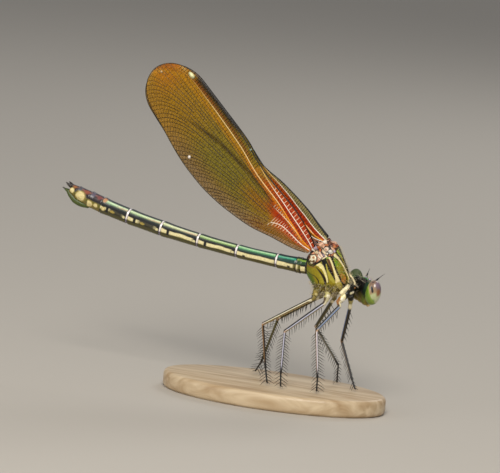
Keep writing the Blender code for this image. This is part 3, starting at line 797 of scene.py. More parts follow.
def make_veins(wing, mat):
    """Every vein of a wing, as one piece."""
    draw = random.Random(SEED + (3 if wing.kind == "hindwing" else 0))
    stock = Stock()
    rim = wing.margin()
    costa = wing.vein_line("lead", np.arange(0.12, wing.spec["round_from"], 0.3)) + rim[1:9]
    vein_run(stock, wing, costa, COSTA_VEIN, BLACK, taper=0.6, sides=6)
    edge = rim[8:] + wing.vein_line("hind", np.arange(5.2, 0.2, -0.3))
    vein_run(stock, wing, edge, FINE_VEIN * 1.1, tone("33270f"))
    for name, places, *look in MAIN_RUNS:
        vein_run(stock, wing, wing.vein_line(name, places), *look)
    for row in (FRONT_RUNGS[wing.kind], *RUNG_ROWS):
        rungs(stock, wing, draw, *row)
    lines = field_lines(wing)
    for line, size in lines:
        if size > 0:
            vein_run(stock, wing, line, size, field_tint, taper=0.75)
    for places in field_crossveins(wing, lines, draw):
        vein_run(stock, wing, places, CROSS_VEIN, field_tint, sides=3)
    finish_piece(stock.build(wing.name + "_veins", mat), "wing")


# Dark streak behind the radius, as (span, distance behind the leading edge)
DARK_STREAK = ((6.8, 1.58), (9.0, 1.42), (11.5, 1.56), (14.0, 2.28), (17.2, 2.98), (20.0, 3.9),
               (23.0, 5.0))


def membrane_tint(kind, at, behind, share):
    """Colour of the membrane at places along the span, by distance behind the leading edge."""
    coat = Coat("9e7e1c", len(at))
    olive = band(share, 0.50, 0.26, 0.3) * band(at, 13.0, 5.0, 6.0)
    coat.lay("8a7a22", olive)
    coat.lay("8e7044", step(0.62, 0.95, share) * 0.9)
    coat.lay("b08014", step(17.0, 24.0, at) * 0.8)
    coat.lay("c07c10", step(23.5, 27.0, at) * (1 - step(0.35, 0.9, share)))
    gold_from = step(11.5, 14.5, at)
    gold_line = line_value(((11.0, 1.25), (16.0, 1.35), (26.0, 1.30)), at)
    coat.lay("c48a10", band(behind, gold_line, 0.28, 0.40) * gold_from)
    front_tip = step(25.6, 27.2, at) * (1 - step(0.08, 0.40, share))
    coat.lay("b0601a", front_tip * 0.6)
    streak = band(behind, line_value(DARK_STREAK, at), 0.22, 0.35) * step(6.0, 7.5, at)
    coat.lay("3e2804", streak * (1 - step(18, 23, at)) * 0.75)
    strip = line_value(MAIN_VEINS["subcosta"], at)
    radial = line_value(MAIN_VEINS["radius"], at)
    field = step(5.0, 8.0, at) * (1 - step(8.5, 12.5, at)) * step(1.8, 2.6, behind)
    coat.lay("a4700e", field * (1 - step(0.45, 0.75, share)))
    red_end = line_value(((0.0, 8.6), (0.7, 10.4), (1.2, 9.4), (1.6, 6.9), (2.4, 6.6), (3.6, 5.2),
                          (4.4, 3.6)), behind)
    red = 1 - step(red_end - 1.5, red_end + 1.0, at)
    coat.lay("c65a04", red)
    deep = (1 - step(5.4, 8.8, at)) * (1 - step(2.2, 2.9, behind))
    coat.lay("c23c02", deep)
    along_radius = band(behind, radial + 0.20, 0.15, 0.3) * (1 - step(11.5, 14, at))
    coat.lay("ec8a08", along_radius)
    knot = band(at, NODUS - 0.1, 0.3, 1.2) * band(behind, 0.75, 0.4, 0.8)
    coat.lay("d0780c", knot * 0.8)
    if kind == "forewing":
        tan = (1 - step(strip - 0.05, strip + 0.05, behind)) * (1 - step(10.6, 11.4, at))
        coat.lay("a4965a", tan)
    inner = band(behind, 0.62, 0.14, 0.2) * step(12.0, 13.5, at) * (1 - step(23.5, 25.0, at))
    coat.lay("8a4a0c", inner)
    rim_dark = (1 - step(0.34, 0.48, behind)) * step(13.5, 17.5, at) * (1 - step(23.4, 24.6, at))
    coat.lay("160d04", rim_dark * 0.95)
    olive_cells = (1 - step(0.30, 0.45, behind)) * band(at, 13.5, 1.8, 2.0)
    coat.lay("6e6818", olive_cells * 0.6)
    hem = step(0.60, 0.85, share) * (1 - step(5.0, 9.0, at))
    coat.lay("94640f", hem)
    return coat.colours


# Rows of the membrane's mesh along the wing, in its round tip, and across it
MEMBRANE_SPANS = 118
MEMBRANE_TIP_SPANS = 18
MEMBRANE_SHARES = 40


def make_membrane(wing, mat):
    """The wing's membrane, a thin closed plate."""
    start = wing.spec["round_from"]
    spans = list(np.linspace(0.1, start, MEMBRANE_SPANS))
    for i in range(1, MEMBRANE_TIP_SPANS + 1):
        turn = math.pi / 2 * i / (MEMBRANE_TIP_SPANS + 0.3)
        spans.append(start + (wing.span - start) * math.sin(turn))
    shares = np.linspace(0.0, 1.0, MEMBRANE_SHARES)
    points = []
    places = []
    for at in spans:
        lead, trail = wing.edges(at)
        for share in shares:
            offset = lead + (trail - lead) * share
            places.append((at, lead - offset, share))
            points.append((at, offset))
    columns = len(shares)
    verts = [wing.point(at, offset, WING_PLATE) for at, offset in points]
    verts += [wing.point(at, offset, -WING_PLATE) for at, offset in points]
    half = len(points)
    faces = []
    for i in range(len(spans) - 1):
        for j in range(columns - 1):
            a = i * columns + j
            faces.append((a, a + 1, a + columns + 1, a + columns))
            faces.append((half + a, half + a + columns, half + a + columns + 1, half + a + 1))
    rim = [i * columns for i in range(len(spans))]
    rim += [(len(spans) - 1) * columns + j for j in range(1, columns)]
    rim += [i * columns + columns - 1 for i in range(len(spans) - 2, -1, -1)]
    rim += list(range(columns - 2, 0, -1))
    for k, a in enumerate(rim):
        b = rim[(k + 1) % len(rim)]
        faces.append((a, b, half + b, half + a))
    table = np.array(places)
    tints = membrane_tint(wing.kind, *table.T)
    stock = Stock()
    stock.add(verts, faces, list(tints) + list(tints))
    finish_piece(stock.build(wing.name + "_membrane", mat), "wing", wing.name)


# Pale cell near each tip, then flecks of wax: span, offset, length, width and colour
WING_SPOTS = {
    "forewing": ((26.0, 1.98, 1.15, 0.50, "e6e6a0"),),
    "hindwing": ((24.53, 2.48, 1.00, 0.56, "f4f2b8"), (17.7, -4.1, 0.42, 0.42, "f4e8dc"),
                 (27.3, -0.1, 0.36, 0.30, "c9a878"), (13.4, 2.28, 0.34, 0.28, "a8b8a8")),
}
SPOT_SIDES = 16
# How far a spot stands out of the wing's middle plane, in its middle and at its edge
SPOT_RISE = 0.07
SPOT_EDGE_RISE = 0.02


def make_spots(wing, mat):
    """Low round lenses that show on both faces of the wing."""
    stock = Stock()
    for at, offset, length, width, code in WING_SPOTS[wing.kind]:
        verts = [wing.point(at, offset, SPOT_RISE)]
        for i in range(SPOT_SIDES):
            angle = 2 * math.pi * i / SPOT_SIDES
            place = (at + math.cos(angle) * length / 2, offset + math.sin(angle) * width / 2)
            verts.append(wing.point(*place, SPOT_EDGE_RISE))
        verts.append(wing.point(at, offset, -SPOT_RISE))
        faces = []
        for i in range(SPOT_SIDES):
            a = 1 + i
            b = 1 + (i + 1) % SPOT_SIDES
            faces.append((0, a, b))
            faces.append((SPOT_SIDES + 1, b, a))
        stock.add(verts, faces, [tone(code)] * len(verts))
    finish_piece(stock.build(wing.name + "_spots", mat), "wing")


def make_wings():
    membrane = cuticle("wing_membrane", 0.34, alpha=0.55, shade=0.16, patch_size=0.30,
                       grain=0.25, grain_size=0.30, specular=0.3)
    veins = cuticle("wing_veins", 0.38, shade=0.10, patch_size=0.5, specular=0.35)
    wax = cuticle("wing_spots", 0.45, shade=0.05)
    for kind in WINGS:
        for side in (1, -1):
            wing = Wing(kind, side)
            make_membrane(wing, membrane)
            make_veins(wing, veins)
            make_spots(wing, wax)


# Thorax

THORAX_LEVELS = 61
THORAX_SIDES = 72
# Pitch of the grid that the smooth skins are drawn over, in millimetres
SKIN_VOXEL = 0.045


def thorax_section(height):
    low = THORAX_SLICES[0][0]
    high = THORAX_SLICES[-1][0]
    at = min(max(height, low), high)
    return [smooth_value([(s[0], s[k]) for s in THORAX_SLICES], at) for k in (1, 2, 3)]


def remesh(pieces, voxel, rounds):
    """One smooth skin over closed pieces of (points, faces), in millimetres."""
    verts = []
    faces = []
    for points, sides in pieces:
        start = len(verts)
        verts.extend(tuple(p) for p in points)
        faces.extend(tuple(i + start for i in face) for face in sides)
    mesh = bpy.data.meshes.new("cage")
    mesh.from_pydata(verts, [], faces)
    cage = add_object("cage", mesh)
    shell = cage.modifiers.new("skin", "REMESH")
    shell.mode = "VOXEL"
    shell.voxel_size = voxel
    soft = cage.modifiers.new("soft", "SMOOTH")
    soft.factor = 0.5
    soft.iterations = rounds
    shape = cage.evaluated_get(bpy.context.evaluated_depsgraph_get())
    skin = bpy.data.meshes.new_from_object(shape)
    bpy.data.objects.remove(cage, do_unlink=True)
    return skin


def skin_arrays(skin):
    """Points and normals of a mesh."""
    flat = np.empty(len(skin.vertices) * 3, np.float32)
    skin.vertices.foreach_get("co", flat)
    points = flat.reshape(-1, 3).astype(float)
    skin.vertices.foreach_get("normal", flat)
    return points, flat.reshape(-1, 3).astype(float)


def skin_object(skin, name, points, colours, mat):
    """Makes an object of a skin whose points are in the stance, in millimetres."""
    skin.vertices.foreach_set("co", to_frame(points).astype(np.float32).ravel())
    skin.name = name
    skin.materials.clear()
    skin.materials.append(mat)
    skin.shade_smooth()
    obj = add_object(name, skin)
    paint(obj, colours)
    return obj


def ball(frame_at, middle, radii, segments=28, rings=18):
    """Points and faces of a ball with three half sizes, in a frame."""
    work = bmesh.new()
    bmesh.ops.create_uvsphere(work, u_segments=segments, v_segments=rings, radius=1.0)
    points = []
    for vert in work.verts:
        spot = Vector(middle) + Vector(c * r for c, r in zip(vert.co, radii))
        points.append(tuple(frame_at @ spot))
    faces = [tuple(v.index for v in face.verts) for face in work.faces]
    work.free()
    return points, faces


def thorax_cage():
    """The thorax's rings, narrowed towards the front ridge."""
    rings = []
    low = THORAX_SLICES[0][0]
    high = THORAX_SLICES[-1][0]
    for k in range(THORAX_LEVELS):
        height = low + (high - low) * k / (THORAX_LEVELS - 1)
        rear, front, half_width = thorax_section(height)
        ring = []
        for i in range(THORAX_SIDES):
            angle = 2 * math.pi * i / THORAX_SIDES
            along = math.cos(angle)
            across = math.sin(angle)
            if along > 0:
                across = math.copysign(abs(across) ** THORAX_NOSE, across)
            ring.append(((rear + front) / 2 + (front - rear) / 2 * along,
                         half_width * across, height))
        rings.append(ring)
    return loft(rings)


def thorax_angle(points):
    """Angle round the thorax from its front ridge, in degrees, and the height, of each point."""
    heights = np.clip(points[:, 2], THORAX_SLICES[0][0], THORAX_SLICES[-1][0])
    levels = np.linspace(THORAX_SLICES[0][0], THORAX_SLICES[-1][0], 60)
    table = np.array([thorax_section(level) for level in levels])
    rear = np.interp(heights, levels, table[:, 0])
    front = np.interp(heights, levels, table[:, 1])
    half_width = np.interp(heights, levels, table[:, 2])
    along = (points[:, 0] - (rear + front) / 2) / ((front - rear) / 2)
    across = np.clip(np.abs(points[:, 1]) / half_width, 0.0, 1.3)
    across = np.where(along > 0, across ** (1 / THORAX_NOSE), across)
    return np.degrees(np.arctan2(across, along)), points[:, 2]


# Width of a degree on the thorax's side, for marks that are given by angle
MM_PER_DEGREE = 0.038
# Marks down each side in the order they are laid: colour, then height, angle and half width
THORAX_MARKS = (
    ("11180e", ((17.0, 9, 0.34), (15.5, 10, 0.30), (13.5, 8, 0.24), (12.0, 4, 0.20))),
    ("1b4c50", ((16.75, 26, 0.10), (16.2, 22, 0.10), (15.3, 13, 0.06))),
    ("0c0e0c", ((16.10, 48, 0.14), (15.79, 43, 0.15), (15.15, 31, 0.16), (14.4, 22, 0.12),
                (13.2, 15, 0.10))),
    ("98b62a", ((16.10, 39, 0.07), (15.99, 37, 0.12), (15.71, 29, 0.13), (15.35, 23, 0.05))),
    ("1f7030", ((15.88, 31, 0.05), (15.60, 25, 0.06))),
    ("0b0a07", ((15.45, 62, 0.20), (15.07, 55, 0.40), (14.27, 49, 0.47), (13.47, 43, 0.50),
                (12.87, 38, 0.45), (12.30, 28, 0.36), (11.90, 16, 0.20))),
    ("0c0b08", ((15.38, 76, 0.07), (15.33, 66, 0.09), (15.30, 58, 0.10))),
    ("f8e9b0", ((15.68, 54, 0.10), (15.55, 51, 0.19), (15.27, 41, 0.15), (14.91, 34, 0.12),
                (14.43, 28, 0.11), (13.95, 25, 0.11), (13.47, 23, 0.10), (12.99, 17, 0.10),
                (12.30, 8, 0.09))),
    ("f3e2a2", ((15.16, 70, 0.14), (14.85, 66, 0.14), (14.55, 63, 0.11), (14.03, 61, 0.09),
                (13.55, 60, 0.11), (13.03, 58, 0.17), (12.60, 54, 0.26))),
    ("c3b24e", ((12.35, 49, 0.26), (11.85, 30, 0.26))),
    ("5a3614", ((15.05, 75, 0.13), (14.87, 72, 0.15), (14.47, 69, 0.13), (13.99, 67, 0.10),
                (13.30, 66, 0.05))),
    ("120b07", ((14.85, 81, 0.10), (14.55, 78, 0.13), (14.15, 75, 0.15), (13.67, 71, 0.17),
                (13.23, 68, 0.14), (12.80, 63, 0.05))),
    ("15200d", ((15.08, 82, 0.14), (14.75, 83, 0.12), (14.45, 83, 0.06))),
    ("8fb83c", ((15.20, 75, 0.06), (15.14, 78, 0.06))),
    ("b3a63a", ((14.45, 79.5, 0.05), (13.91, 79, 0.09), (13.35, 76, 0.17), (12.83, 71, 0.20),
                (12.51, 64, 0.14))),
    ("0c0a07", ((14.85, 90, 0.16), (14.35, 85.5, 0.17), (13.99, 83, 0.09), (13.75, 82, 0.05),
                (12.95, 81, 0.025), (12.35, 79, 0.04))),
    ("f0e19a", ((14.30, 105, 0.16), (14.28, 97, 0.22), (14.10, 93, 0.24), (13.91, 89, 0.15),
                (13.55, 86, 0.13), (13.03, 84, 0.10), (12.45, 82, 0.08))),
    ("241408", ((13.90, 107, 0.05), (13.55, 99, 0.10), (13.15, 93.5, 0.14), (12.79, 90, 0.15),
                (12.20, 87.5, 0.13))),
    ("0e0d09", ((13.60, 155, 0.05), (13.39, 147, 0.04), (12.99, 128, 0.035), (12.91, 118, 0.04),
                (12.71, 113, 0.07), (12.43, 110, 0.08), (12.05, 111, 0.05))),
    ("0f0d0a", ((14.75, 150, 0.10), (14.10, 133, 0.07), (14.02, 118, 0.06), (14.55, 100, 0.07),
                (14.72, 96, 0.09))),
)
# The shining patch between the two pale stripes, and its colour by height
SHINE_PATCH = ((15.10, 53, 0.20), (14.59, 47, 0.31), (14.03, 44, 0.35), (13.47, 42, 0.35),
               (12.87, 37, 0.29), (12.45, 27, 0.14))
SHINE_LOW = tone("b0772c")
SHINE_HIGH = tone("7f8c16")
SHINE_FLECK = tone("5a9c1c")

# Lowest height of the small wing-root plates, by angle from the front ridge
ROOT_LIMIT = ((0, 16.62), (25, 16.50), (38, 16.22), (46, 16.02), (53, 15.82), (60, 15.45),
              (76, 15.42), (84, 15.15), (92, 14.98), (99, 14.80), (108, 14.45), (118, 14.25),
              (128, 14.30), (140, 14.60), (180, 14.80))
ROOT_CELL_CODES = ("efe2cc", "e4c0a4", "c98a62", "b4602e", "4a2818", "f2e0c8", "a05028", "d8a888",
                   "6a3c24", "e0c8a0", "241814", "b09aa4", "c47848")
# Larger plates at the wing roots: middle (x, away from the middle, z), half sizes and colour
ROOT_PLATES = (
    ((-0.58, 1.02, 14.80), (0.56, 0.36, 0.52), "ebdfbe"),
    ((-0.70, 1.00, 14.52), (0.30, 0.30, 0.34), "eadcb4"),
    ((0.84, 0.86, 16.08), (0.34, 0.32, 0.32), "ecd4ba"),
    ((1.26, 0.84, 15.86), (0.34, 0.30, 0.30), "e6dccb"),
)
ROOT_PLATE_MARKS = (
    ((-0.98, 1.15, 14.93), 0.17, "94602e"),
    ((-0.53, 1.32, 15.03), 0.15, "a87040"),
    ((-0.46, 1.36, 14.60), 0.15, "6e4a1e"),
    ((-0.84, 1.22, 14.58), 0.14, "9a7a4c"),
    ((0.80, 1.16, 16.11), 0.13, "b86a40"),
    ((0.80, 1.18, 16.11), 0.06, "e8c8a8"),
    ((1.30, 1.12, 15.88), 0.16, "d2d0c8"),
    ((1.16, 1.14, 15.84), 0.06, "4a3428"),
    ((1.62, 0.62, 16.50), 0.17, "c47a48"),
    ((1.72, 0.74, 15.98), 0.13, "c8b6d4"),
)


def stripe(angle, height, knots, soft=0.05):
    """How thickly a line through (height, angle, half width) knots covers each point."""
    cover = np.zeros(len(angle))
    for (h0, a0, half0), (h1, a1, half1) in zip(knots, knots[1:]):
        across = (a1 - a0) * MM_PER_DEGREE
        rise = h1 - h0
        off = (angle - a0) * MM_PER_DEGREE
        above = height - h0
        t = np.clip((off * across + above * rise) / (across**2 + rise**2), 0.0, 1.0)
        away = np.hypot(off - t * across, above - t * rise)
        half = half0 + (half1 - half0) * t
        cover = np.maximum(cover, 1 - step(-soft / 2, soft / 2, away - half))
    return cover


def spot(points, middle, radius, soft=0.04):
    """How thickly a round spot on both sides of the body covers each point."""
    middle = np.array(middle)
    away = np.stack((points[:, 0] - middle[0], np.abs(points[:, 1]) - middle[1],
                     points[:, 2] - middle[2]), axis=1)
    return 1 - step(radius - soft, radius + soft, np.linalg.norm(away, axis=1))


def cells(points, count, low, high, seed, where=None):
    """Nearest of many scattered sites for each point, and the gap to the next nearest."""
    sites = np.random.default_rng(seed).uniform(low, high, (count, 3))
    tree = KDTree(count)
    for k, site in enumerate(sites):
        tree.insert(site, k)
    tree.balance()
    nearest = np.zeros(len(points), int)
    gap = np.zeros(len(points))
    wanted = range(len(points)) if where is None else np.flatnonzero(where)
    for k in wanted:
        x, y, z = points[k]
        (_, nearest[k], near), (_, _, far) = tree.find_n((x, abs(y), z), 2)
        gap[k] = far - near
    return nearest, gap


def pick(codes, numbers):
    """The colour of each number, going round the codes again and again."""
    return np.array([tone(code) for code in codes])[numbers % len(codes)]


# Small marks of the neck: middle, radius and colour
NECK_MARKS = (
    ((4.42, 0.55, 11.50), 0.20, "f4e6cc"),
    ((4.20, 0.72, 11.42), 0.17, "efe2b4"),
    ((4.52, 0.20, 12.42), 0.10, "dc9aa4"),
    ((4.48, 0.30, 12.05), 0.11, "d08a48"),
    ((3.95, 0.90, 11.90), 0.10, "8a6a3c"),
)
# The pale bar in front of the middle coxae: its line and the radii along it
BAR_ENDS = ((3.62, 0.62, 12.10), (3.34, 0.95, 11.66), (3.08, 1.10, 11.22))
BAR_RADII = (0.16, 0.24, 0.28)
# The slender pale bar from the thorax's front ridge to the prothorax, and its colour's reach
COLLAR = ((3.46, 0.0, 13.55), (3.92, 0.0, 13.12), (4.30, 0.0, 12.56), (4.22, 0.0, 12.20))
COLLAR_RADIUS = 0.10
COLLAR_REACH = 0.15
BAR_REACH = 0.30
# Marks at the tops of the coxae: offset from the coxa's top, radius and colour
COXA_MARKS = {
    "foreleg": (((0.10, -0.05, 0.40), 0.50, "e9dba6"), ((-0.22, 0.05, 0.10), 0.40, "a8701c"),
                ((0.26, 0.12, 0.10), 0.26, "f2ead0")),
    "midleg": (((0.00, 0.00, 0.25), 0.46, "c9bd7c"), ((0.20, 0.14, 0.16), 0.24, "f0e8cc"),
               ((-0.22, 0.10, 0.30), 0.16, "4c3a14")),
    "hindleg": (((0.00, 0.00, 0.30), 0.42, "8f7c34"), ((0.18, 0.10, 0.20), 0.20, "d6c88c"),
                ((-0.20, 0.10, 0.30), 0.16, "3c300f")),
}
# Sizes of the thorax skin's fine pattern: how many cells, and the corners that hold them
BLOTCH_CELLS = (900, (-2.6, 0.0, 9.8), (4.6, 1.7, 12.6))
FLECK_CELLS = (5200, (-0.2, 0.0, 12.0), (4.0, 1.7, 15.6))
ROOT_CELLS = (760, (-7.8, 0.0, 11.2), (-4.2, 1.6, 18.0))
BLOTCH_CODES = ("5e5414", "8c8030", "7a6a20", "a4964a", "4c3c10", "6e7420", "93864a", "5a4614")


def lay_ground(coat, points, angle, height):
    """The sides' olive, the blotches under the wings and the marks of each side."""
    coat.lay("a89a2a", band(angle, 96, 8, 14) * band(height, 12.7, 0.5, 0.7))
    coat.lay("7a7a18", step(112, 135, angle) * 0.8)
    coat.lay("57700f", step(118, 135, angle) * (1 - step(12.9, 13.3, height)))
    coat.lay("86661a", band(height, 13.95, 0.10, 0.15) * step(106, 112, angle))
    low = 1 - step(11.95, 12.35, height + 0.004 * np.abs(angle - 80))
    blotch, gap = cells(points, *BLOTCH_CELLS, SEED + 5, low > 0)
    coat.lay(pick(BLOTCH_CODES, blotch), low * 0.85)
    coat.lay("2a220c", low * (1 - step(0.02, 0.07, gap)) * 0.7)
    for code, knots in THORAX_MARKS:
        coat.lay(code, stripe(angle, height, knots))


def lay_shine_patch(coat, points, angle, height):
    """The patch between the pale stripes, brown below and green above, with bright flecks."""
    patch = stripe(angle, height, SHINE_PATCH, 0.06)
    up = step(12.7, 14.9, height)[:, None]
    shine = blend(SHINE_LOW, SHINE_HIGH, up)
    fleck, _ = cells(points, *FLECK_CELLS, SEED + 6, patch > 0)
    shine = shine * (0.72 + 0.5 * ((fleck * 37 % 11) / 10.0)[:, None])
    shine = blend(shine, SHINE_FLECK, (fleck % 5 == 0)[:, None] * (0.35 + 0.4 * up))
    coat.lay(shine, patch)
    coat.lay("0a0c0a", band(angle, 0, 2.6, 1.0))


def lay_wing_roots(coat, points, angle, height):
    """The small plates at the wing roots. Returns where they are, and how far each is raised."""
    limit = line_value(ROOT_LIMIT, angle)
    root = step(-0.03, 0.03, height - limit)
    coat.lay("0f0b0a", band(height - limit, -0.04, 0.07, 0.05))
    x, y, z = points.T
    drawn_out = np.stack((0.46 * x - 0.386 * z, y, 0.77 * x + 0.92 * z), axis=1)
    cell, gap = cells(drawn_out, *ROOT_CELLS, SEED + 7, root > 0)
    coat.lay(pick(ROOT_CELL_CODES, cell), root)
    coat.lay("1e120c", root * (1 - step(0.015, 0.05, gap)))
    lift = root * step(0.03, 0.14, gap) * 0.04
    for middle, radii, code in ROOT_PLATES:
        reach = np.abs(points - np.array(middle) * (1, 0, 1)) - np.array((0, middle[1], 0))
        reach = np.linalg.norm(reach / np.array(radii), axis=1)
        inside = 1 - step(0.98, 1.06, reach)
        coat.lay("1c120c", 1 - step(1.14, 1.22, reach))
        coat.lay(code, inside)
        lift *= 1 - inside
    for middle, radius, code in ROOT_PLATE_MARKS:
        coat.lay(code, spot(points, middle, radius))
    coat.lay("ead9a6", stripe(angle, height, ((14.98, 92, 0.05), (15.32, 79, 0.05))))
    return root, lift


def lay_waist(coat, points, height):
    """The sleeve behind the thorax, coloured as the abdomen's first segment."""
    waist = (1 - step(-1.62, -1.56, points[:, 0])) * step(12.5, 12.7, height)
    turn = np.degrees(np.arctan2(np.abs(points[:, 1]), height - 13.72))
    first = Coat("5a5420", len(points))
    first.lay("f0e2aa", band(turn, 106, 20, 5))
    first.lay("080a08", band(turn, 82, 7, 4))
    first.lay("183c1a", 1 - step(74, 78, turn))
    # Painted highlight along the sleeve's top, as on the first segment
    first.lay("a8d05a", band(turn, 44, 5, 16))
    first.lay("080a08", band(turn, 0, 16, 8))
    coat.lay(first.colours, waist)
    # A dark seam across the thorax's rear, widened with painted shade
    coat.lay("1c160c", band(points[:, 0], -1.50, 0.12, 0.06) * step(12.5, 12.7, height))


def lay_neck(coat, points, height):
    """The dark neck, its small marks and the pale bars beside it."""
    neck = step(3.35, 3.55, points[:, 0]) * (1 - step(12.45, 12.6, height))
    coat.lay("14130c", neck)
    for middle, radius, code in NECK_MARKS:
        coat.lay(code, spot(points, middle, radius) * neck)
    for line, radius, code in ((BAR_ENDS, BAR_REACH, "f3e6ba"), (COLLAR, COLLAR_REACH, "e0d0a4")):
        for start, end in zip(line, line[1:]):
            for share in np.linspace(0.0, 1.0, 6):
                middle = blend(np.array(start), np.array(end), share)
                coat.lay(code, spot(points, middle, radius))


def lay_coxae(coat, points):
    for name, spec in LEGS.items():
        if name.endswith("right"):
            x, y, z = spec[0]
            for (dx, dy, dz), radius, code in COXA_MARKS[name.split("_")[0]]:
                coat.lay(code, spot(points, (x + dx, abs(y) + dy, z + dz), radius, 0.06))


def thorax_tints(points):
    """Colours of the thorax, and how far each point is raised."""
    angle, height = thorax_angle(points)
    coat = Coat("948414", len(points))
    lay_ground(coat, points, angle, height)
    lay_shine_patch(coat, points, angle, height)
    root, lift = lay_wing_roots(coat, points, angle, height)
    lay_waist(coat, points, height)
    lay_neck(coat, points, height)
    lay_coxae(coat, points)
    shade = coat.colours.mean(axis=1)
    lift += np.interp(shade, (0.01, 0.06, 0.35), (-0.035, 0.0, 0.02)) * (1 - root)
    return coat.colours, lift


def coxa_way(name):
    kind, side_name = name.split("_")
    x, y, z = COXA_ANCHORS[kind]
    anchor = Vector((x, y if side_name == "left" else -y, z))
    return (Vector(LEGS[name][0]) - anchor).normalized(), anchor


# Solid forms of the thorax skin: swellings round the neck (along the body, height, half width),
# the neck, the sleeve to the abdomen, the web between the wing roots and the wing stalks
NECK_SWELLINGS = ((3.66, 11.84, 0.95), (4.06, 11.72, 0.93))
NECK_LINE = ((3.9, 0.0, 11.8), (4.2, 0.2, 11.9), (4.62, 0.95, 12.0))
NECK_RADII = (0.40, 0.36, 0.36)
SLEEVE_START = (-0.8, 0.0, 13.70)
SLEEVE_RADII = (0.92, 0.90)
WEB_LINE = ((-0.90, 0.78, 15.85), (-0.20, 0.80, 16.30), (0.62, 0.45, 16.95))
WEB_RADII = (0.24, 0.34, 0.26)
STALK_INWARD = (0.75, -0.35, -1.25)
STALK_RADII = (0.42, 0.24)
COXA_RADII = (0.46, 0.36)
PROTHORAX_SIDES = 28


def on_side(line, side):
    """A line of the left side, on the side that is asked for."""
    return [(x, side * y, z) for x, y, z in line]


def prothorax_cage():
    rings = []
    for x, z, half_height, half_width in PROTHORAX_RINGS:
        angles = [2 * math.pi * i / PROTHORAX_SIDES for i in range(PROTHORAX_SIDES)]
        rings.append([(x, half_width * math.cos(angle), z + half_height * math.sin(angle))
                      for angle in angles])
    return loft(rings)


def thorax_pieces():
    """Closed forms that overlap, and that one skin is drawn over."""
    still = Matrix.Identity(4)
    pieces = [thorax_cage(), prothorax_cage()]
    for x, z, half_width in NECK_SWELLINGS:
        pieces.append(ball(still, (x, 0.0, z), (0.20, half_width, 0.78), 24, 16))
    pieces.append(sweep(NECK_LINE, NECK_RADII, 14))
    start, way = abdomen_at(0.0)
    pieces.append(sweep((SLEEVE_START, start - way * 0.1), SLEEVE_RADII, 32))
    for (x, y, z), radii, _ in ROOT_PLATES:
        for side in (1, -1):
            pieces.append(ball(still, (x, y * side, z), radii, 20, 14))
    pieces.append(sweep(COLLAR, [COLLAR_RADIUS] * len(COLLAR), 12))
    for side in (1, -1):
        pieces.append(sweep(on_side(BAR_ENDS, side), BAR_RADII, 14))
        pieces.append(sweep(on_side(WEB_LINE, side), WEB_RADII, 12))
    for spec in WINGS.values():
        for side in (1, -1):
            shift = LEFT_PAIR_SHIFT if side > 0 else 0.0
            x, z = spec["root"]
            root = Vector((x + shift, side * spec["root_y"], z))
            inward = Vector(on_side((STALK_INWARD,), side)[0])
            pieces.append(sweep((root + inward, root), STALK_RADII, 12))
    for name in LEGS:
        way, anchor = coxa_way(name)
        pieces.append(sweep((anchor, Vector(LEGS[name][0]) + way * 0.1), COXA_RADII, 14))
    return pieces


def make_thorax():
    skin = remesh(thorax_pieces(), SKIN_VOXEL, 4)
    points, normals = skin_arrays(skin)
    colours, lift = thorax_tints(points)
    mat = cuticle("thorax_cuticle", 0.36, metallic=0.10, grain=0.30, grain_size=0.06, coat=0.10,
                  shade=0.16, patch_size=0.22, specular=0.32)
    obj = skin_object(skin, "thorax_skin", points + normals * lift[:, None], colours, mat)
    finish_piece(obj, "thorax", "thorax", "prothorax")
    return obj


# Head


def head_frame():
    turn = Matrix.Rotation(math.radians(HEAD_YAW), 4, "Z")
    lean = Matrix.Rotation(math.radians(HEAD_ROLL), 4, "X")
    return Matrix.Translation(HEAD_CENTRE) @ turn @ lean


# Swellings that make up the head: middle (forward, left, up) and half sizes
HEAD_LUMPS = (
    ((0.12, 0.00, 0.02), (0.84, 1.68, 1.02)),
    ((-0.28, 0.00, 0.05), (0.50, 1.34, 0.88)),
    ((0.04, 0.00, -0.62), (0.78, 1.48, 0.95)),
    ((0.00, 0.80, -1.22), (0.54, 0.78, 0.70)),
    ((0.00, -0.80, -1.22), (0.54, 0.78, 0.70)),
    ((-0.42, 0.95, 0.12), (0.42, 0.86, 0.88)),
    ((-0.42, -0.95, 0.12), (0.42, 0.86, 0.88)),
    ((0.72, 0.00, -0.18), (0.58, 0.92, 0.52)),
    ((0.82, 0.00, -0.72), (0.52, 0.80, 0.34)),
    ((0.70, 0.00, -1.18), (0.46, 0.66, 0.30)),
    ((0.18, 0.00, -1.50), (0.62, 0.62, 0.46)),
)
MANDIBLE_PLACE = (0.36, 1.00, -1.68)
OCELLI = ((0.62, 0.0, 0.88), (0.30, 0.36, 1.00), (0.30, -0.36, 1.00))
ANTENNA_ROOT = (0.66, 0.74, 0.80)
ANTENNA_DIRECTIONS = {"left": (0.62, 0.62, 0.48), "right": (0.44, -0.35, 0.83)}
ANTENNA_LENGTH = 1.72
# Small marks of the head: middle, radius and colour
HEAD_MARKS = (
    ((0.10, 0.43, 1.00), 0.15, "2f9a34"),
    ((0.12, 0.02, 0.94), 0.17, "1f8a3a"),
    ((0.04, -0.26, 0.93), 0.12, "2a7a2a"),
    ((0.30, 0.00, 0.98), 0.12, "57a83a"),
    ((0.10, 0.30, 0.88), 0.09, "c07828"),
    ((-0.10, 0.75, 0.84), 0.10, "2c6a30"),
    ((0.55, 0.52, 0.72), 0.12, "2a5a24"),
    ((0.55, -0.52, 0.72), 0.12, "2a5a24"),
    ((-0.55, 0.42, -0.30), 0.10, "3a2c14"),
    ((-0.60, -0.36, 0.05), 0.12, "30260f"),
)
# Its speckles: how many, and the corners that hold them
SPECKLE_CELLS = (2600, (-1.0, 0.0, -2.1), (1.4, 1.8, 1.3))


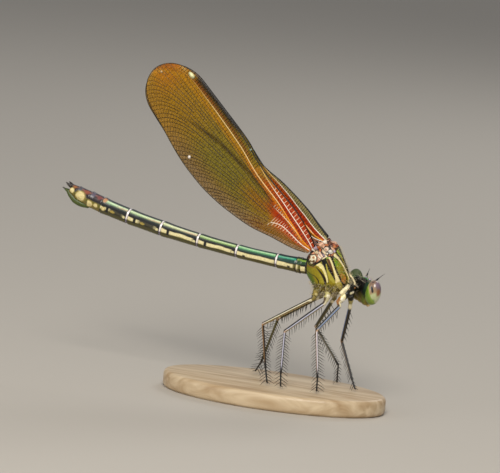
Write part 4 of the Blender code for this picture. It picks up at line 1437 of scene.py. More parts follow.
def head_tints(local):
    forward, left, up = local.T
    side = np.abs(left)
    coat = Coat("12160b", len(local))
    rear = 1 - step(0.0, 0.25, forward)
    coat.lay("0c0b08", rear * step(-0.55, -0.25, up))
    coat.lay("0f2c18", band(side, 1.14, 0.20, 0.16) * step(-1.2, -0.5, up))
    lower = 1 - step(-0.62, -0.22, up + 0.25 * np.abs(side - 0.4))
    lower *= 1 - step(0.25, 0.5, forward)
    coat.lay("453e17", lower)
    coat.lay("6f6428", lower * (1 - step(-1.25, -0.75, up)))
    coat.lay("4b6420", lower * band(side, 0.95, 0.22, 0.3) * 0.6)
    edge = 1 - step(-1.72, -1.48, up)
    coat.lay("a48f4a", edge * rear * 0.8)
    speckle, _ = cells(local, *SPECKLE_CELLS, SEED + 8)
    coat.colours *= 0.75 + 0.5 * ((speckle * 53 % 13) / 12.0)[:, None]
    coat.lay("1f5a24", step(0.62, 0.85, up) * step(-0.15, 0.2, forward) * 0.7)
    face = step(0.55, 0.8, forward)
    coat.lay("1c2a14", face * band(up, -0.18, 0.50, 0.1))
    coat.lay("c7bd6a", face * band(up, -0.80, 0.20, 0.08))
    coat.lay("1d1c12", face * band(up, -0.47, 0.05, 0.04))
    coat.lay("d3c98a", face * band(up, -1.20, 0.18, 0.08))
    coat.lay("2c2412", face * band(up, -0.99, 0.04, 0.04))
    for middle, radius, code in HEAD_MARKS:
        away = np.linalg.norm(local - np.array(middle), axis=1)
        coat.lay(code, 1 - step(radius - 0.04, radius + 0.04, away))
    for middle in OCELLI:
        away = np.linalg.norm(local - np.array(middle), axis=1)
        coat.lay("c9b4e0", 1 - step(0.12, 0.16, away))
    tip = np.array(MANDIBLE_PLACE) + (0.02, 0.12, -0.24)
    away = np.linalg.norm(np.stack((forward, side, up), axis=1) - tip, axis=1)
    coat.lay("e0c48e", 1 - step(0.34, 0.46, away))
    return coat.colours


def make_head():
    at = head_frame()
    pieces = [ball(at, middle, radii) for middle, radii in HEAD_LUMPS]
    f, l, u = MANDIBLE_PLACE
    for side in (1, -1):
        pieces.append(ball(at, (f, side * l, u), (0.34, 0.28, 0.38), 16, 12))
    for middle in OCELLI:
        pieces.append(ball(at, middle, (0.14, 0.14, 0.14), 12, 8))
    f, l, u = ANTENNA_ROOT
    for side in (1, -1):
        pieces.append(ball(at, (f, side * l, u - 0.04), (0.20, 0.20, 0.18), 14, 10))
    skin = remesh(pieces, SKIN_VOXEL, 5)
    points, _ = skin_arrays(skin)
    inverse = np.array(at.inverted())
    local = points @ inverse[:3, :3].T + inverse[:3, 3]
    mat = cuticle("head_cuticle", 0.46, metallic=0.10, grain=0.20, grain_size=0.06,
                  shade=0.15, patch_size=0.25, specular=0.35)
    obj = skin_object(skin, "head_skin", points, head_tints(local), mat)
    finish_piece(obj, "head", "head")
    make_eyes(at)
    make_antennae(at)
    return obj


# Round marks on the eyes: direction (forward, outward, up), size, softness and colour
EYE_MARKS = (
    ((0.16, 0.79, 0.59), 0.44, 0.36, "705a62"),
    ((-0.05, 0.58, 0.81), 0.34, 0.30, "7c6874"),
    ((-0.02, 0.96, 0.24), 0.30, 0.34, "8f5a28"),
    ((0.10, 0.95, 0.26), 0.18, 0.26, "844c1a"),
    ((-0.41, 0.54, -0.74), 0.46, 0.30, "5d8a14"),
    ((0.10, 0.90, -0.42), 0.34, 0.34, "c9cda4"),
)
# Long marks: both ends, half width and colour
EYE_STREAKS = (
    ((-0.52, 0.02, 0.86), (-0.36, 0.14, 0.93), 0.055, "1d1020"),
    ((-0.77, 0.34, 0.53), (-0.74, 0.61, 0.28), 0.125, "0b070b"),
)
# The green crescent behind and the line between brown and green, as planes of a unit ball
EYE_CRESCENT = ((0.257, 0.653, 0.712), 0.037)
EYE_BROWN = ((0.041, -0.581, 0.813), -0.36)
# The way to the eye's inner back, and the parts round and along its ball
EYE_INNER_BACK = np.array((-0.60, -0.75, 0.30))
EYE_DETAIL = (160, 108)


def eye_tints(ways, dull_and_shaded):
    """Colours of an eye by direction from its middle, and by how far it is dulled and shaded there.
    """
    up = ways[:, 2]
    coat = Coat("a58a64", len(ways))
    coat.lay("8a6d58", step(0.3, 0.8, up))
    normal, level = EYE_BROWN
    coat.lay("bcc48e", 1 - step(-0.10, 0.12, ways @ np.array(normal) - level))
    for middle, radius, soft, code in EYE_MARKS:
        away = np.linalg.norm(ways - np.array(middle), axis=1)
        coat.lay(code, 1 - step(radius - soft / 2, radius + soft / 2, away))
    normal, level = EYE_CRESCENT
    beyond = ways @ np.array(normal) - level
    coat.lay("c8b878", band(beyond, 0.03, 0.03, 0.04) * step(-0.2, 0.2, up))
    coat.lay("86a02c", 1 - step(-0.04, 0.03, beyond))
    coat.lay("5f8416", (1 - step(-0.30, -0.05, beyond)) * 0.8)
    coat.lay("63801c", (1 - step(-0.86, -0.62, up)) * 0.8)
    for start, end, half, code in EYE_STREAKS:
        start, end = np.array(start), np.array(end)
        way = end - start
        t = np.clip((ways - start) @ way / (way @ way), 0.0, 1.0)
        away = np.linalg.norm(ways - start - t[:, None] * way, axis=1)
        coat.lay(code, 1 - step(half - 0.03, half + 0.03, away))
    # Painted shade: the dulled patch takes darker greens, with a pale rim along its top
    coat.lay("4a5632", dull_and_shaded)
    coat.lay("4a7a44", dull_and_shaded * band(up, 0.45, 0.10, 0.3) * 0.6)
    rim = band(ways @ EYE_INNER_BACK, 0.0, 0.05, 0.12) * step(0.4, 0.7, up)
    coat.lay("b49a7c", dull_and_shaded * rim)
    return coat.colours


def make_eyes(at):
    """Both eyes. The left one's inner back is less glossy and darker with painted shade."""
    lens = eye_material()
    for name, side in (("eye_left", 1), ("eye_right", -1)):
        points, faces = ball(at, (0.0, side * EYE_OFFSET, 0.0), EYE_RADII, *EYE_DETAIL)
        unit, _ = ball(Matrix.Identity(4), (0.0, 0.0, 0.0), (1.0, 1.0, 1.0), *EYE_DETAIL)
        ways = np.array(unit) * (1, side, 1)
        # Less gloss and painted shade on the left eye's inner back
        dull_and_shaded = step(-0.10, 0.10, ways @ EYE_INNER_BACK) * (side > 0)
        stock = Stock()
        stock.add(points, faces, list(eye_tints(ways, dull_and_shaded)))
        obj = stock.build(name + "_lens", lens)
        paint(obj, np.repeat(1.0 - dull_and_shaded[:, None], 3, axis=1), "Gloss")
        finish_piece(obj, "eye", name)


# Places along an antenna, its radii there and how far it bends at the tip
ANTENNA_SHARES = (0.0, 0.06, 0.20, 0.22, 0.24, 0.44, 0.46, 0.50, 0.75, 1.0)
ANTENNA_RADII = (0.13, 0.14, 0.125, 0.09, 0.10, 0.08, 0.05, 0.038, 0.026, 0.010)
ANTENNA_DROOP = Vector((0.06, 0.0, -0.08))


def make_antennae(at):
    """Two stout joints and a long bristle, on each side."""
    mat = cuticle("antenna_cuticle", 0.45, shade=0.1)
    turn = at.to_3x3()
    f, l, u = ANTENNA_ROOT
    for name, side in (("left", 1), ("right", -1)):
        root = at @ Vector((f, side * l, u))
        way = (turn @ Vector(ANTENNA_DIRECTIONS[name])).normalized()
        line = [root + way * (ANTENNA_LENGTH * share) + ANTENNA_DROOP * share * share
                for share in ANTENNA_SHARES]
        stock = Stock()
        stock.add_tube(line, ANTENNA_RADII, 10, "14110d")
        finish_piece(stock.build(f"antenna_{name}_thread", mat), "antenna", f"antenna_{name}")


# Abdomen


def abdomen_point(t):
    p0, p1, p2, p3 = (Vector((x, 0.0, z)) for x, z in ABDOMEN_CONTROLS)
    s = 1 - t
    point = p0 * s**3 + p1 * 3 * s * s * t + p2 * 3 * s * t * t + p3 * t**3
    way = (p1 - p0) * s * s + (p2 - p1) * 2 * s * t + (p3 - p2) * t * t
    return point, way.normalized()


def abdomen_lengths(steps=400):
    lengths = [0.0]
    last = abdomen_point(0)[0]
    for i in range(1, steps + 1):
        point = abdomen_point(i / steps)[0]
        lengths.append(lengths[-1] + (point - last).length)
        last = point
    return lengths


ABDOMEN_LENGTHS = abdomen_lengths()


def abdomen_at(length):
    """The point and the way at a length along the abdomen's middle line, or straight beyond it."""
    table = ABDOMEN_LENGTHS
    t = float(np.interp(length, table, np.linspace(0, 1, len(table))))
    point, way = abdomen_point(t)
    beyond = length - min(max(length, 0.0), table[-1])
    return point + way * beyond, way


def upward(way):
    """The direction square to a way in the body's middle plane, on its upper side."""
    up = Vector((way.z, 0.0, -way.x))
    return up if up.z > 0 else -up


# Swell of a segment along its length, and the points round it
SEGMENT_SWELL = ((0.00, 0.93), (0.03, 0.955), (0.07, 0.98), (0.30, 0.965), (0.70, 0.965),
                 (0.92, 1.01), (0.975, 1.02), (1.00, 0.95))
ABDOMEN_AROUND = 72


def segment_bounds():
    total = ABDOMEN_LENGTHS[-1]
    scale = total / sum(SEGMENT_SHARES)
    starts = [0.0]
    for share in SEGMENT_SHARES:
        starts.append(starts[-1] + share * scale)
    return starts


# Width of the white ring at the front of a segment
RING_WIDTH = 0.19
# By segment: where the shining back ends, middle and half width of the pale side stripe, in degrees
# from the back's middle, then the back's colour and its gleam's, a painted highlight
SEGMENT_LOOKS = (
    (78, 104, 22, "183c1a", "a8d05a"),
    (80, 102, 18, "083a2e", "4fe0b4"),
    (74, 99, 16, "083c2a", "8ad890"),
    (66, 96, 14, "10301a", "b4d87c"),
    (63, 94, 13, "142c1c", "eef4b8"),
    (62, 94, 11, "162c20", "d4eeb0"),
    (62, 94, 9, "1a2c24", "c4eab0"),
    (52, 96, 0, "33242c", "a87a70"),
    (52, 96, 0, "33242c", "b07a6a"),
    (52, 96, 0, "2e2422", "8a6a5a"),
)
# How bright the gleam's core, a painted highlight, is on each segment
CORE_STRENGTHS = (0.25, 0.35, 1.0, 1.0, 1.0, 1.0, 1.0, 0.0, 0.0, 0.0)
# Pale ovals of the last segments: number, place along, angle, half length and half turn
TAIL_OVALS = (
    (7, 0.88, 104, 0.22, 15),
    (8, 0.34, 106, 0.28, 17),
    (8, 0.84, 114, 0.50, 26),
    (9, 0.60, 98, 0.66, 46),
    (10, 0.62, 92, 0.30, 34),
)
# Red patches on the back of the last segments: number, place along, half length and colour
TAIL_BLOTCHES = ((7, 0.93, 0.34, "d08a5a"), (8, 0.30, 0.34, "864844"), (8, 0.78, 0.30, "5e5a6c"),
                 (9, 0.30, 0.44, "9c543a"), (9, 0.82, 0.26, "4c5660"), (10, 0.5, 0.30, "a86a3a"))


def lay_segment(coat, number, here, along, ahead, turn):
    """One segment's shining back with its painted highlight, the dark line below it and the pale
    stripe on its side.
    """
    back_end, pale_at, pale_half, back, gleam = SEGMENT_LOOKS[number - 1]
    shine_at = back_end * (0.54 if number <= 3 else 0.64)
    shine_half = back_end * (0.09 if number <= 2 else 0.17)
    # Painted highlight: the gleam's band along the back
    shine = band(turn, shine_at, shine_half, back_end * 0.26) * 0.8
    shine += band(turn, shine_at - 3, back_end * 0.04, back_end * 0.16) * 0.35
    coat.lay(back, here * (1 - step(back_end - 2, back_end + 2, turn)))
    coat.lay(gleam, here * shine * (1.0 if 3 <= number <= 7 else 0.7))
    # Painted highlight: the gleam's bright core, broken into sparkles
    sparkle = 0.55 + 0.45 * np.sin(ahead * 19 + turn * 0.5) * np.sin(ahead * 43 + 2.0)
    highlight_core = band(turn, shine_at - 4, 5.5, 9) * sparkle * step(0.20, 0.45, ahead)
    coat.lay("f4fcdc", here * highlight_core * CORE_STRENGTHS[number - 1])
    # A rose edge beside the gleam, part of the painted highlight
    if 5 <= number <= 7:
        rose_gleam = band(turn, shine_at + 6, 5, 12) * (1 - step(0.25, 0.6, along))
        coat.lay("e8a890", here * rose_gleam * 0.6)
    dark_to = pale_at - pale_half if pale_half else back_end + 14
    dark = band(turn, (back_end + dark_to) / 2, (dark_to - back_end) / 2 + 1, 3)
    coat.lay("080a08", here * dark)
    if pale_half:
        wave = pale_at + 2.5 * np.sin(ahead * 2.2)
        coat.lay("f1e4ac", here * band(turn, wave, pale_half, 4) * step(0.15, 0.40, ahead))


def lay_side_marks(coat, segment, early, along, ahead, behind, turn):
    """The dark and pale marks of the first seven segments, early being 1 on those."""
    coat.lay("070b09", band(turn, 0, 16, 8) * 0.95 * early)
    coat.lay("8e7fae", band(turn, 19, 1.5, 4) * 0.35 * early)
    front_part = np.where(segment >= 4, 1 - step(0.45, 0.9, ahead), 0.0)
    coat.lay("0b0d0b", band(turn, 98, 24, 8) * front_part * early)
    fore_spot = 1 - step(0.85, 1.05, np.hypot((ahead - 0.48) / 0.20, (turn - 103) / 11))
    coat.lay("eadfa6", early * (segment >= 4) * fore_spot)
    notch_at = np.where(segment == 2, 1.55, 0.95)
    notch = band(behind, notch_at, 0.17, 0.12) * (segment >= 2) * early
    notch_high = np.where(segment <= 3, band(turn, 113, 9, 6), band(turn, 100, 20, 6))
    coat.lay("0b0d0b", notch * notch_high)
    dim = np.isin(segment, (6, 7))
    coat.lay("17170d", band(turn, 94, 18, 6) * dim * band(along, 0.42, 0.24, 0.14) * 0.95)
    dim_spot = np.hypot((along - 0.55) * (ahead + behind) / 0.34, (turn - 98) / 9)
    coat.lay("b09a48", dim * (1 - step(0.8, 1.1, dim_spot)))
    coat.lay("1d190b", band(turn, 119, 4, 4) * early * 0.85)


def lay_tail_marks(coat, segment, along, length, turn):
    """The ovals and the red patches of the last segments."""
    late = (segment >= 8) * 1.0
    coat.lay("201418", late * band(turn, 66, 18, 10))
    coat.lay("7a6a26", late * band(turn, 142, 30, 12))
    for number, middle_at, angle_at, half, wide in TAIL_OVALS:
        here = (segment == number) * 1.0
        reach = np.hypot((along - middle_at) * length / half, (turn - angle_at) / wide)
        coat.lay("a08a3c", here * (1 - step(1.0, 1.3, reach)) * 0.8)
        coat.lay("ead898", here * (1 - step(0.75, 1.0, reach)))
    for number, middle_at, half, code in TAIL_BLOTCHES:
        reach = np.hypot((along - middle_at) * length / half, (turn - 36) / 24)
        coat.lay(code, (segment == number) * (1 - step(0.5, 1.2, reach)) * 0.85)


def lay_joints(coat, segment, early, ahead, behind, turn):
    """The white ring at the front of each segment and the dark lines beside it."""
    joint = (segment >= 3) * early
    ring = (1 - step(RING_WIDTH - 0.015, RING_WIDTH + 0.015, ahead)) * joint
    coat.lay("15100c", band(ahead, RING_WIDTH + 0.05, 0.04, 0.03) * joint)
    coat.lay("15100c", band(behind, 0.03, 0.04, 0.03) * early * (segment <= 6))
    coat.lay("8a8290", ring)
    coat.lay("f4eae4", ring * step(8, 14, turn) * (1 - step(108, 114, turn)))
    low_joint = np.clip((1 - step(0.03, 0.12, ahead)) + (1 - step(0.02, 0.06, behind)), 0, 1)
    coat.lay("2b1c0c", low_joint * step(112, 120, turn) * 0.85)
    coat.lay("20160c", (segment == 1) * band(behind, 0.06, 0.06, 0.05) * step(20, 30, turn))


def abdomen_tints(segment, along, turn):
    """Colours by segment number, place along the segment and angle from the back's middle."""
    length = np.array(SEGMENT_SHARES)[segment - 1]
    ahead = along * length
    behind = (1 - along) * length
    early = (segment <= 7) * 1.0
    coat = Coat("6b6524", len(segment))
    coat.lay("3c3814", step(112, 124, turn) * (1 - step(150, 160, turn)) * early * 0.7)
    coat.lay("4c4a1c", step(150, 172, turn))
    for number in range(1, len(SEGMENT_LOOKS) + 1):
        lay_segment(coat, number, (segment == number) * 1.0, along, ahead, turn)
    lay_side_marks(coat, segment, early, along, ahead, behind, turn)
    lay_tail_marks(coat, segment, along, length, turn)
    lay_joints(coat, segment, early, ahead, behind, turn)
    return coat.colours


# Where the abdomen's rings lie: before its start, behind the start of each segment and before
# its end, with evenly spaced ones between
RINGS_BEFORE = (-0.75, -0.5, -0.25, -0.05)
RINGS_NEAR = (0.0, 0.03, 0.07, 0.12, RING_WIDTH - 0.02, RING_WIDTH + 0.02, 0.25)
RINGS_LAST = (0.09, 0.05, 0.02)
RINGS_START = 0.30
RINGS_MARGIN = 0.45
RINGS_PITCH = 0.06
# How far the closed end stands out
END_CAP = 0.03
# Lines along the underside where the section is drawn in or out: by how much, at which angle
# from the back's middle and how wide
KEEL_LINES = ((-0.05, 128, 7), (0.02, 180, 12))


def abdomen_stations():
    """Places along the abdomen, closer together at the joints, with the segment of each."""
    starts = segment_bounds()
    stations = [(length, 0, 0.0) for length in RINGS_BEFORE]
    for number, (start, end) in enumerate(zip(starts, starts[1:])):
        length = end - start
        even = length - RINGS_MARGIN
        steps = max(int(even / RINGS_PITCH), 3)
        inner = [RINGS_START + even * k / steps for k in range(steps + 1)]
        last = [length - back for back in RINGS_LAST]
        stations.extend((start + at, number, at / length) for at in (*RINGS_NEAR, *inner, *last))
    stations.extend((starts[-1] + beyond, len(starts) - 2, 1.0) for beyond in (0.0, END_CAP))
    return stations


def make_abdomen():
    total = ABDOMEN_LENGTHS[-1]
    rings = []
    rows = []
    for length, number, along in abdomen_stations():
        front, rear = SEGMENT_RADII[number]
        radius = (front + (rear - front) * along) * line_value(SEGMENT_SWELL, along)
        if length < 0:
            radius *= 0.97
        if length > total:
            radius *= 0.6
        point, way = abdomen_at(length)
        side = Vector((0.0, 1.0, 0.0))
        up = upward(way)
        ring = []
        for i in range(ABDOMEN_AROUND):
            angle = 2 * math.pi * i / ABDOMEN_AROUND
            turn = math.degrees(angle if angle <= math.pi else 2 * math.pi - angle)
            keel = 1.0
            for depth, middle, wide in KEEL_LINES:
                keel += depth * math.exp(-((turn - middle) / wide) ** 2)
            across = side * (radius * keel * ABDOMEN_FLATNESS * math.sin(angle))
            ring.append(tuple(point + across + up * (radius * keel * math.cos(angle))))
            rows.append((number + 1, along, turn))
        rings.append(ring)
    points, faces = loft(rings)
    table = np.array(rows)
    tints = abdomen_tints(table[:, 0].astype(int), table[:, 1], table[:, 2])
    stock = Stock()
    stock.add(points, faces, list(tints))
    mat = cuticle("abdomen_cuticle", 0.32, metallic=0.08, coat=0.3, coat_blur=0.34, shade=0.14,
                  patch_size=0.20)
    obj = stock.build("abdomen_skin", mat)
    finish_piece(obj, "abdomen", *[f"abdomen_{n}" for n in range(1, 11)])
    make_tail()


# A cercus: shares of its length and the radius there
CERCUS_KNOTS = ((0.0, 0.17), (0.3, 0.19), (0.6, 0.16), (0.85, 0.09), (1.0, 0.02))
CERCUS_LENGTH = 0.95
# The blades reach from here to here, in millimetres before the abdomen's end
BLADE_REACH = (2.9, -0.65)
# How far each blade lies from the middle
BLADE_ASIDE = 0.13


def blade_line(side):
    """Points and radii of one egg-laying blade, which hangs below the last segments."""
    end = ABDOMEN_LENGTHS[-1]
    starts = segment_bounds()
    line = []
    radii = []
    for share in np.linspace(0.0, 1.0, 25):
        ahead = BLADE_REACH[0] + (BLADE_REACH[1] - BLADE_REACH[0]) * share
        at = end - max(ahead, 0.0)
        middle, heading = abdomen_at(at)
        number = max(i for i in range(10) if starts[i] <= min(at, end - 1e-6))
        front, rear = SEGMENT_RADII[number]
        along = (at - starts[number]) / (starts[number + 1] - starts[number])
        body = front + (rear - front) * min(along, 1.0)
        drop = body * 0.82 + 0.34 * math.sin(math.pi * min(share * 1.15, 1.0)) ** 0.7
        aside = Vector((0.0, side * BLADE_ASIDE, 0.0))
        line.append(middle - upward(heading) * drop + aside - heading * min(ahead, 0.0))
        radii.append(0.09 + 0.27 * math.sin(math.pi * min(0.12 + share * 0.88, 1.0)) ** 0.8)
    return line, radii


def make_tail():
    """The two cerci, and the egg-laying blades with their two feelers."""
    mat = cuticle("tail_cuticle", 0.4, grain=0.2, shade=0.18, patch_size=0.2)
    end, way = abdomen_at(ABDOMEN_LENGTHS[-1])
    up = upward(way)
    for name, side in (("cercus_left", 1), ("cercus_right", -1)):
        root = end + Vector((0.0, side * 0.30, 0.0)) + up * 0.20 - way * 0.15
        tip = root + way * CERCUS_LENGTH + Vector((0.0, side * 0.16, 0.0)) + up * 0.22
        line = [root.lerp(tip, share) for share, _ in CERCUS_KNOTS]
        stock = Stock()
        stock.add_tube(line, [radius for _, radius in CERCUS_KNOTS], 12, "2a2016")
        finish_piece(stock.build(name + "_spike", mat), "tail", name)
    stock = Stock()
    for side in (1, -1):
        line, radii = blade_line(side)
        stock.add_tube(line, radii, 12, "46521a")
        feeler = (line[-3], line[-1] + way * 0.10, line[-1] + way * 0.42 - up * 0.02)
        stock.add_tube(feeler, (0.05, 0.05, 0.012), 7, "2e2a18")
    finish_piece(stock.build("ovipositor_blades", mat), "tail", "ovipositor")


# Legs

LEG_SIDES = 14
FEMUR_RINGS = 22
TIBIA_RINGS = 24
# How far the coxa's root is sunk in the thorax, and how far from there it bends
COXA_SUNK = 0.25
COXA_BEND = 0.38
# Radius at the femur's start, how much it swells in the middle and narrows to its end
FEMUR_SIZES = (0.215, 0.02, 0.045)
# Radius at the tibia's start, and how much it narrows to its end
TIBIA_SIZES = (0.150, 0.030)
# Where the ends of femur and tibia begin, and how much thicker these are
FEMUR_END = (0.93, 0.02)
TIBIA_END = (0.95, 0.015)
KNEE_RADIUS = 0.165
# The foot's joints, as shares of its length, and places and radii along each
TARSUS_JOINTS = ((0.0, 0.22), (0.22, 0.52), (0.52, 0.95))
TARSUS_KNOTS = ((0.08, 0.085), (0.5, 0.095), (0.92, 0.105))
# Colours of a leg by the angle round it: its back, the line on its outside and its underside, first
# of the femur and then of the tibia. The bright lines on the outside are painted highlights, and
# the left legs' darker, duller colours are painted shade
LEG_LOOKS = {
    "foreleg_right": (("0b0e15", "8ea4cc", "d8c698"), ("7a5620", "f0e8ee", "2c2830")),
    "midleg_right": (("0c0e14", "dcdcec", "d9c698"), ("54422a", "c6c6d8", "2c2626")),
    "hindleg_right": (("0f0d0a", "fbf0cc", "b89a5c"), ("a87430", "6e4c1c", "20160c")),
    "foreleg_left": (("080b12", "6c84b8", "2a2418"), ("14100c", "7a5a2c", "1c140c")),
    "midleg_left": (("14150d", "44432a", "6a6230"), ("3c3a34", "8f8c8a", "6a6452")),
    "hindleg_left": (("14140c", "48451f", "6a6228"), ("2a2712", "4c471f", "4a4420")),
}
# Where the line on the outside of a femur and a tibia starts and ends, in degrees from the back
LINE_REACH = {"femur": (76, 98), "tibia": (58, 102)}
WIDE_LINE_REACH = (66, 108)
# Colours of the coxae, outside and inside; the left ones' darker colours are painted shade
COXA_LOOKS = {
    "foreleg_right": ("efe2b6", "a0621c"),
    "midleg_right": ("e6dcae", "5a4418"),
    "hindleg_right": ("8a7834", "3c300f"),
    "foreleg_left": ("a89c58", "4a3c18"),
    "midleg_left": ("6e6428", "3a3010"),
    "hindleg_left": ("5e5620", "2e280e"),
}
# A claw: distance ahead, to the side and up from its root, and radius
CLAW_KNOTS = ((0.0, 0.0, 0.02, 0.045), (0.14, 0.10, 0.02, 0.04), (0.28, 0.15, -0.02, 0.028),
              (0.34, 0.13, -0.09, 0.01))
BRISTLE_LENGTH = 0.88
BRISTLE_RADIUS = 0.041
# How far a bristle row stands out in the leg's plane, and how far it leans out of that plane
BRISTLE_OUT = 0.97
BRISTLE_LEAN = 0.24
# Distances of the first bristle from a joint's start and of the last from its end, and the pitch
FEMUR_BRISTLES = (0.5, 0.4, 0.34)
TIBIA_BRISTLES = (0.35, 0.12, 0.33)
TARSUS_BRISTLES = (0.3, 0.3, 0.36)


def leg_stations(name):
    """Points along a leg with their radius and which joint they belong to."""
    top, hip, knee, ankle, foot = (Vector(p) for p in LEGS[name])
    thigh = (knee - hip).normalized()
    shin = (ankle - knee).normalized()
    toe = (foot - ankle).normalized()
    way, _ = coxa_way(name)
    bend = top + way * COXA_BEND
    rows = [(top - way * COXA_SUNK, 0.30, "coxa"), (top, 0.33, "coxa"), (bend, 0.30, "coxa"),
            (bend.lerp(hip, 0.35), 0.21, "coxa"), (bend.lerp(hip, 0.5), 0.24, "trochanter"),
            (hip, 0.22, "trochanter")]
    first, swell, taper = FEMUR_SIZES
    for k in range(1, FEMUR_RINGS + 1):
        share = k / FEMUR_RINGS
        radius = first + swell * math.sin(math.pi * share) - taper * share
        if share > FEMUR_END[0]:
            radius += FEMUR_END[1]
        short = thigh * 0.02 * (k == FEMUR_RINGS)
        rows.append((hip + (knee - hip) * share - short, radius, "femur"))
    rows.append((knee + (shin - thigh) * 0.04, KNEE_RADIUS, "knee"))
    first, taper = TIBIA_SIZES
    for k in range(1, TIBIA_RINGS + 1):
        share = k / TIBIA_RINGS
        radius = first - taper * share + (TIBIA_END[1] if share > TIBIA_END[0] else 0.0)
        rows.append((knee + (ankle - knee) * share, radius, "tibia"))
    length = (foot - ankle).length
    for start, end in TARSUS_JOINTS:
        for share, radius in TARSUS_KNOTS:
            rows.append((ankle + toe * length * (start + (end - start) * share), radius, "tarsus"))
    return rows, thigh, shin, toe


def leg_tint(name, joint, share, turn):
    """Colour at an angle round the leg, from its back (0) to its underside (180)."""
    if joint == "coxa":
        outer, inner = COXA_LOOKS[name]
        return tone(outer if turn > 75 else inner)
    if joint == "trochanter":
        return tone("f0e4bc" if turn > 70 else "3c2812")
    if joint == "knee":
        return tone("241410" if turn < 60 else "d8a878")
    if joint == "tarsus":
        return tone("15120f")
    femur, tibia = LEG_LOOKS[name]
    back, line, below = (tone(code) for code in (femur if joint == "femur" else tibia))
    if joint == "tibia" and share > 0.78:
        fade = min((share - 0.78) / 0.12, 1.0)
        back, line, below = (blend(colour, tone("16120e"), fade) for colour in (back, line, below))
    if joint == "femur" and share > 0.94:
        back, line = tone("1c120c"), tone("f0d8c0")
    low, high = LINE_REACH[joint]
    if name == "hindleg_right" and joint == "femur":
        low, high = WIDE_LINE_REACH
    if turn < low:
        return back
    # The line on the outside: a painted highlight where it is bright
    if turn < high:
        return line
    return back if turn < 128 and joint == "femur" else below


def leg_tube(name, rows, bowed, hinge):
    """Points, faces and colours of a leg, with its back on the side that it is bowed to."""
    counts = {joint: sum(row[2] == joint for row in rows) for joint in ("femur", "tibia")}
    seen = {"femur": 0, "tibia": 0}
    points = []
    tints = []
    for k, (point, radius, joint) in enumerate(rows):
        ahead = (rows[min(k + 1, len(rows) - 1)][0] - rows[max(k - 1, 0)][0]).normalized()
        back = bowed - ahead * bowed.dot(ahead)
        if back.length < 0.05:
            back = hinge.cross(ahead)
        back.normalize()
        across = ahead.cross(back)
        share = 0.0
        if joint in seen:
            seen[joint] += 1
            share = seen[joint] / counts[joint]
        for i in range(LEG_SIDES):
            angle = 2 * math.pi * (i + 0.5) / LEG_SIDES
            points.append(point + (back * math.cos(angle) + across * math.sin(angle)) * radius)
            turn = math.degrees(angle if angle <= math.pi else 2 * math.pi - angle)
            tints.append(leg_tint(name, joint, share, turn))
    return points, tube_faces(len(rows), LEG_SIDES), tints


def add_claws(stock, ankle, foot, toe):
    heading = Vector((toe.x, toe.y, 0.0))
    heading = heading.normalized() if heading.length > 0.01 else Vector((1.0, 0.0, 0.0))
    aside = Vector((0.0, 0.0, 1.0)).cross(heading)
    root = foot + (ankle - foot).normalized() * 0.10
    for side in (1, -1):
        line = []
        for ahead, out, up, _ in CLAW_KNOTS:
            point = root + (heading * ahead + aside * (side * out) + Vector((0.0, 0.0, up)))
            line.append(Vector((point.x, point.y, max(point.z, 0.02))))
        stock.add_tube(line, [knot[3] for knot in CLAW_KNOTS], 6, "120d0a")


def bristle_row(stock, draw, start, end, outs, spacing, in_turn=False):
    """Bristles along a joint, one for each way out, or one at a time in turn."""
    first, last, pitch = spacing
    axis = (end - start).normalized()
    at = first
    length = (end - start).length
    while at < length - last:
        outs = outs[::-1]
        for out in outs[:1] if in_turn else outs:
            slant = math.radians(draw.uniform(27, 38))
            way = (out * math.cos(slant) + axis * math.sin(slant)).normalized()
            root = start + axis * (at + draw.uniform(-0.05, 0.05)) + out * 0.10
            size = BRISTLE_LENGTH * draw.uniform(0.85, 1.1)
            line = (root, root + way * size * 0.5, root + way * size + axis * 0.04)
            stock.add_tube(line, (BRISTLE_RADIUS, BRISTLE_RADIUS * 0.8, 0.010), 4, "0c0907")
        at += pitch


def make_leg(name, skin_mat, bristle_mat):
    rows, thigh, shin, toe = leg_stations(name)
    _, hip, knee, ankle, foot = (Vector(p) for p in LEGS[name])
    hinge = thigh.cross(shin).normalized()
    skin = Stock()
    skin.add(*leg_tube(name, rows, (thigh - shin).normalized(), hinge))
    add_claws(skin, ankle, foot, toe)
    finish_piece(skin.build(name + "_skin", skin_mat), "leg", name + "_femur", name + "_tibia")
    draw = random.Random(SEED + sum(map(ord, name)))
    under = hinge.cross(thigh).normalized()
    if under.z > 0:
        under = -under
    fore = hinge.cross(shin).normalized()
    lean = hinge * BRISTLE_LEAN
    below = (under * BRISTLE_OUT + lean, under * BRISTLE_OUT - lean)
    both = (fore * BRISTLE_OUT + lean, fore * -BRISTLE_OUT + lean)
    bristles = Stock()
    bristle_row(bristles, draw, hip, knee, below, FEMUR_BRISTLES, in_turn=True)
    bristle_row(bristles, draw, knee, ankle, both, TIBIA_BRISTLES)
    bristle_row(bristles, draw, ankle, foot, both, TARSUS_BRISTLES)
    finish_piece(bristles.build(name + "_bristles", bristle_mat), "leg")


def make_legs():
    skin_mat = cuticle("leg_cuticle", 0.30, coat=0.35, grain=0.1, shade=0.10)
    bristle_mat = cuticle("leg_bristle", 0.7, shade=0.1, specular=0.1)
    for name in LEGS:
        make_leg(name, skin_mat, bristle_mat)


# Fine hairs

THORAX_HAIRS = 1500
HEAD_HAIRS = 120
# Size of each hair's own patch of the unwrap
HAIR_PATCH = 0.003
HAIR_RADII = (0.011, 0.008, 0.003)
THORAX_HAIR_LENGTH = 0.42
HEAD_HAIR_LENGTH = 0.46


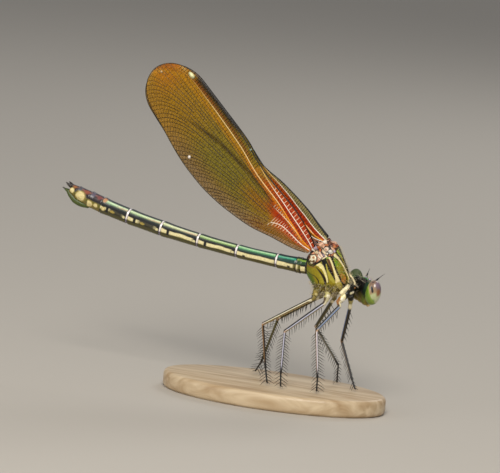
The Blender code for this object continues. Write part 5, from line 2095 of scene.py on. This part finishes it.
def make_hairs(skin, name, slot, count, size, wanted, unwrap):
    """Pale hairs standing on a skin, each a thin cone with its own patch of the skin's unwrap."""
    draw = random.Random(SEED + count)
    faces = [face for face in skin.data.polygons if wanted(place_on_body(face.center), face.normal)]
    chosen = draw.choices(faces, [face.area for face in faces], k=count)
    stock = Stock()
    roots = []
    for face in chosen:
        root = place_on_body(face.center)
        normal = Vector(face.normal)
        lean = Vector((draw.uniform(-1, 1), draw.uniform(-1, 1), draw.uniform(-1, 1))) * 0.35
        way = (normal + lean).normalized()
        length = size * draw.uniform(0.6, 1.2)
        bend = Vector((0.0, 0.0, -0.10)) * length
        line = (root - normal * 0.03, root + way * length * 0.55, root + way * length + bend)
        stock.add_tube(line, HAIR_RADII, 3, "e2d3b0")
        roots.append(unwrap(root))
    obj = stock.build(name, cuticle(name + "_fibre", 0.6, shade=0.05))
    owners = np.empty(len(obj.data.loops), np.int32)
    obj.data.loops.foreach_get("vertex_index", owners)
    hair, part = np.divmod(owners, len(stock.points) // count)
    spread = np.stack((part % 3 - 1, part // 3 - 1), axis=1) * HAIR_PATCH / 2
    coords = np.array(roots)[hair] + spread
    layer = obj.data.uv_layers.new(name="OFBake")
    layer.data.foreach_set("uv", coords.astype(np.float32).ravel())
    finish_piece(obj, slot)


def thorax_unwrap(root):
    angle, height = thorax_angle(np.array([tuple(root)]))
    side = 1 if root.y >= 0 else -1
    return 0.25 + 0.24 * side * float(angle[0]) / 180, 0.05 + 0.9 * (float(height[0]) - 10) / 8


def thorax_wanted(place, normal):
    """Hairs stand on the front ridge and on the underside."""
    front = normal.x > 0.45 and 12.2 < place.z < 16.4
    return front or (place.z < 12.2 and place.x < 3.2 and normal.z < 0.2)


def add_hairs(thorax, head):
    inverse = head_frame().inverted()

    def head_unwrap(root):
        local = inverse @ root
        return 0.75 + 0.12 * math.atan2(local.y, local.x) / math.pi * 2, 0.5 + 0.2 * local.z

    def head_wanted(place, _):
        return (inverse @ place).z > 0.70

    make_hairs(thorax, "thorax_hairs", "thorax", THORAX_HAIRS, THORAX_HAIR_LENGTH, thorax_wanted,
               thorax_unwrap)
    make_hairs(head, "head_hairs", "head", HEAD_HAIRS, HEAD_HAIR_LENGTH, head_wanted, head_unwrap)


# Base

BASE_SIDES = 160
# Outline of the base's edge: height, and how far outside the base's oval it lies
BASE_PROFILE = ((0.0, -0.35), (0.18, -0.10), (0.40, 0.0), (1.55, 0.0), (1.80, -0.10),
                (1.95, -0.28), (BASE_HEIGHT, -0.48))


def make_base():
    """The oval wooden base, turned with a small round edge."""
    rings = []
    for height, inset in BASE_PROFILE:
        ring = []
        for i in range(BASE_SIDES):
            angle = 2 * math.pi * i / BASE_SIDES
            ring.append(((BASE_LENGTH / 2 + inset) * math.cos(angle) + BASE_CENTRE_X,
                         (BASE_WIDTH / 2 + inset) * math.sin(angle), height - FLOOR_Z))
        rings.append(ring)
    points, faces = loft(rings)
    mesh = bpy.data.meshes.new("stand_base_wood")
    mesh.from_pydata(to_frame(points).tolist(), [], faces)
    mesh.shade_smooth()
    mesh.set_sharp_from_angle(angle=math.radians(50))
    mesh.materials.append(wood_material())
    finish_piece(add_object("stand_base_wood", mesh), "base", "stand_base")


def main():
    add_camera()
    add_stage()
    make_base()
    make_wings()
    thorax = make_thorax()
    head = make_head()
    make_abdomen()
    make_legs()
    add_hairs(thorax, head)


main()
bpy.context.scene.view_settings.view_transform = "Standard"
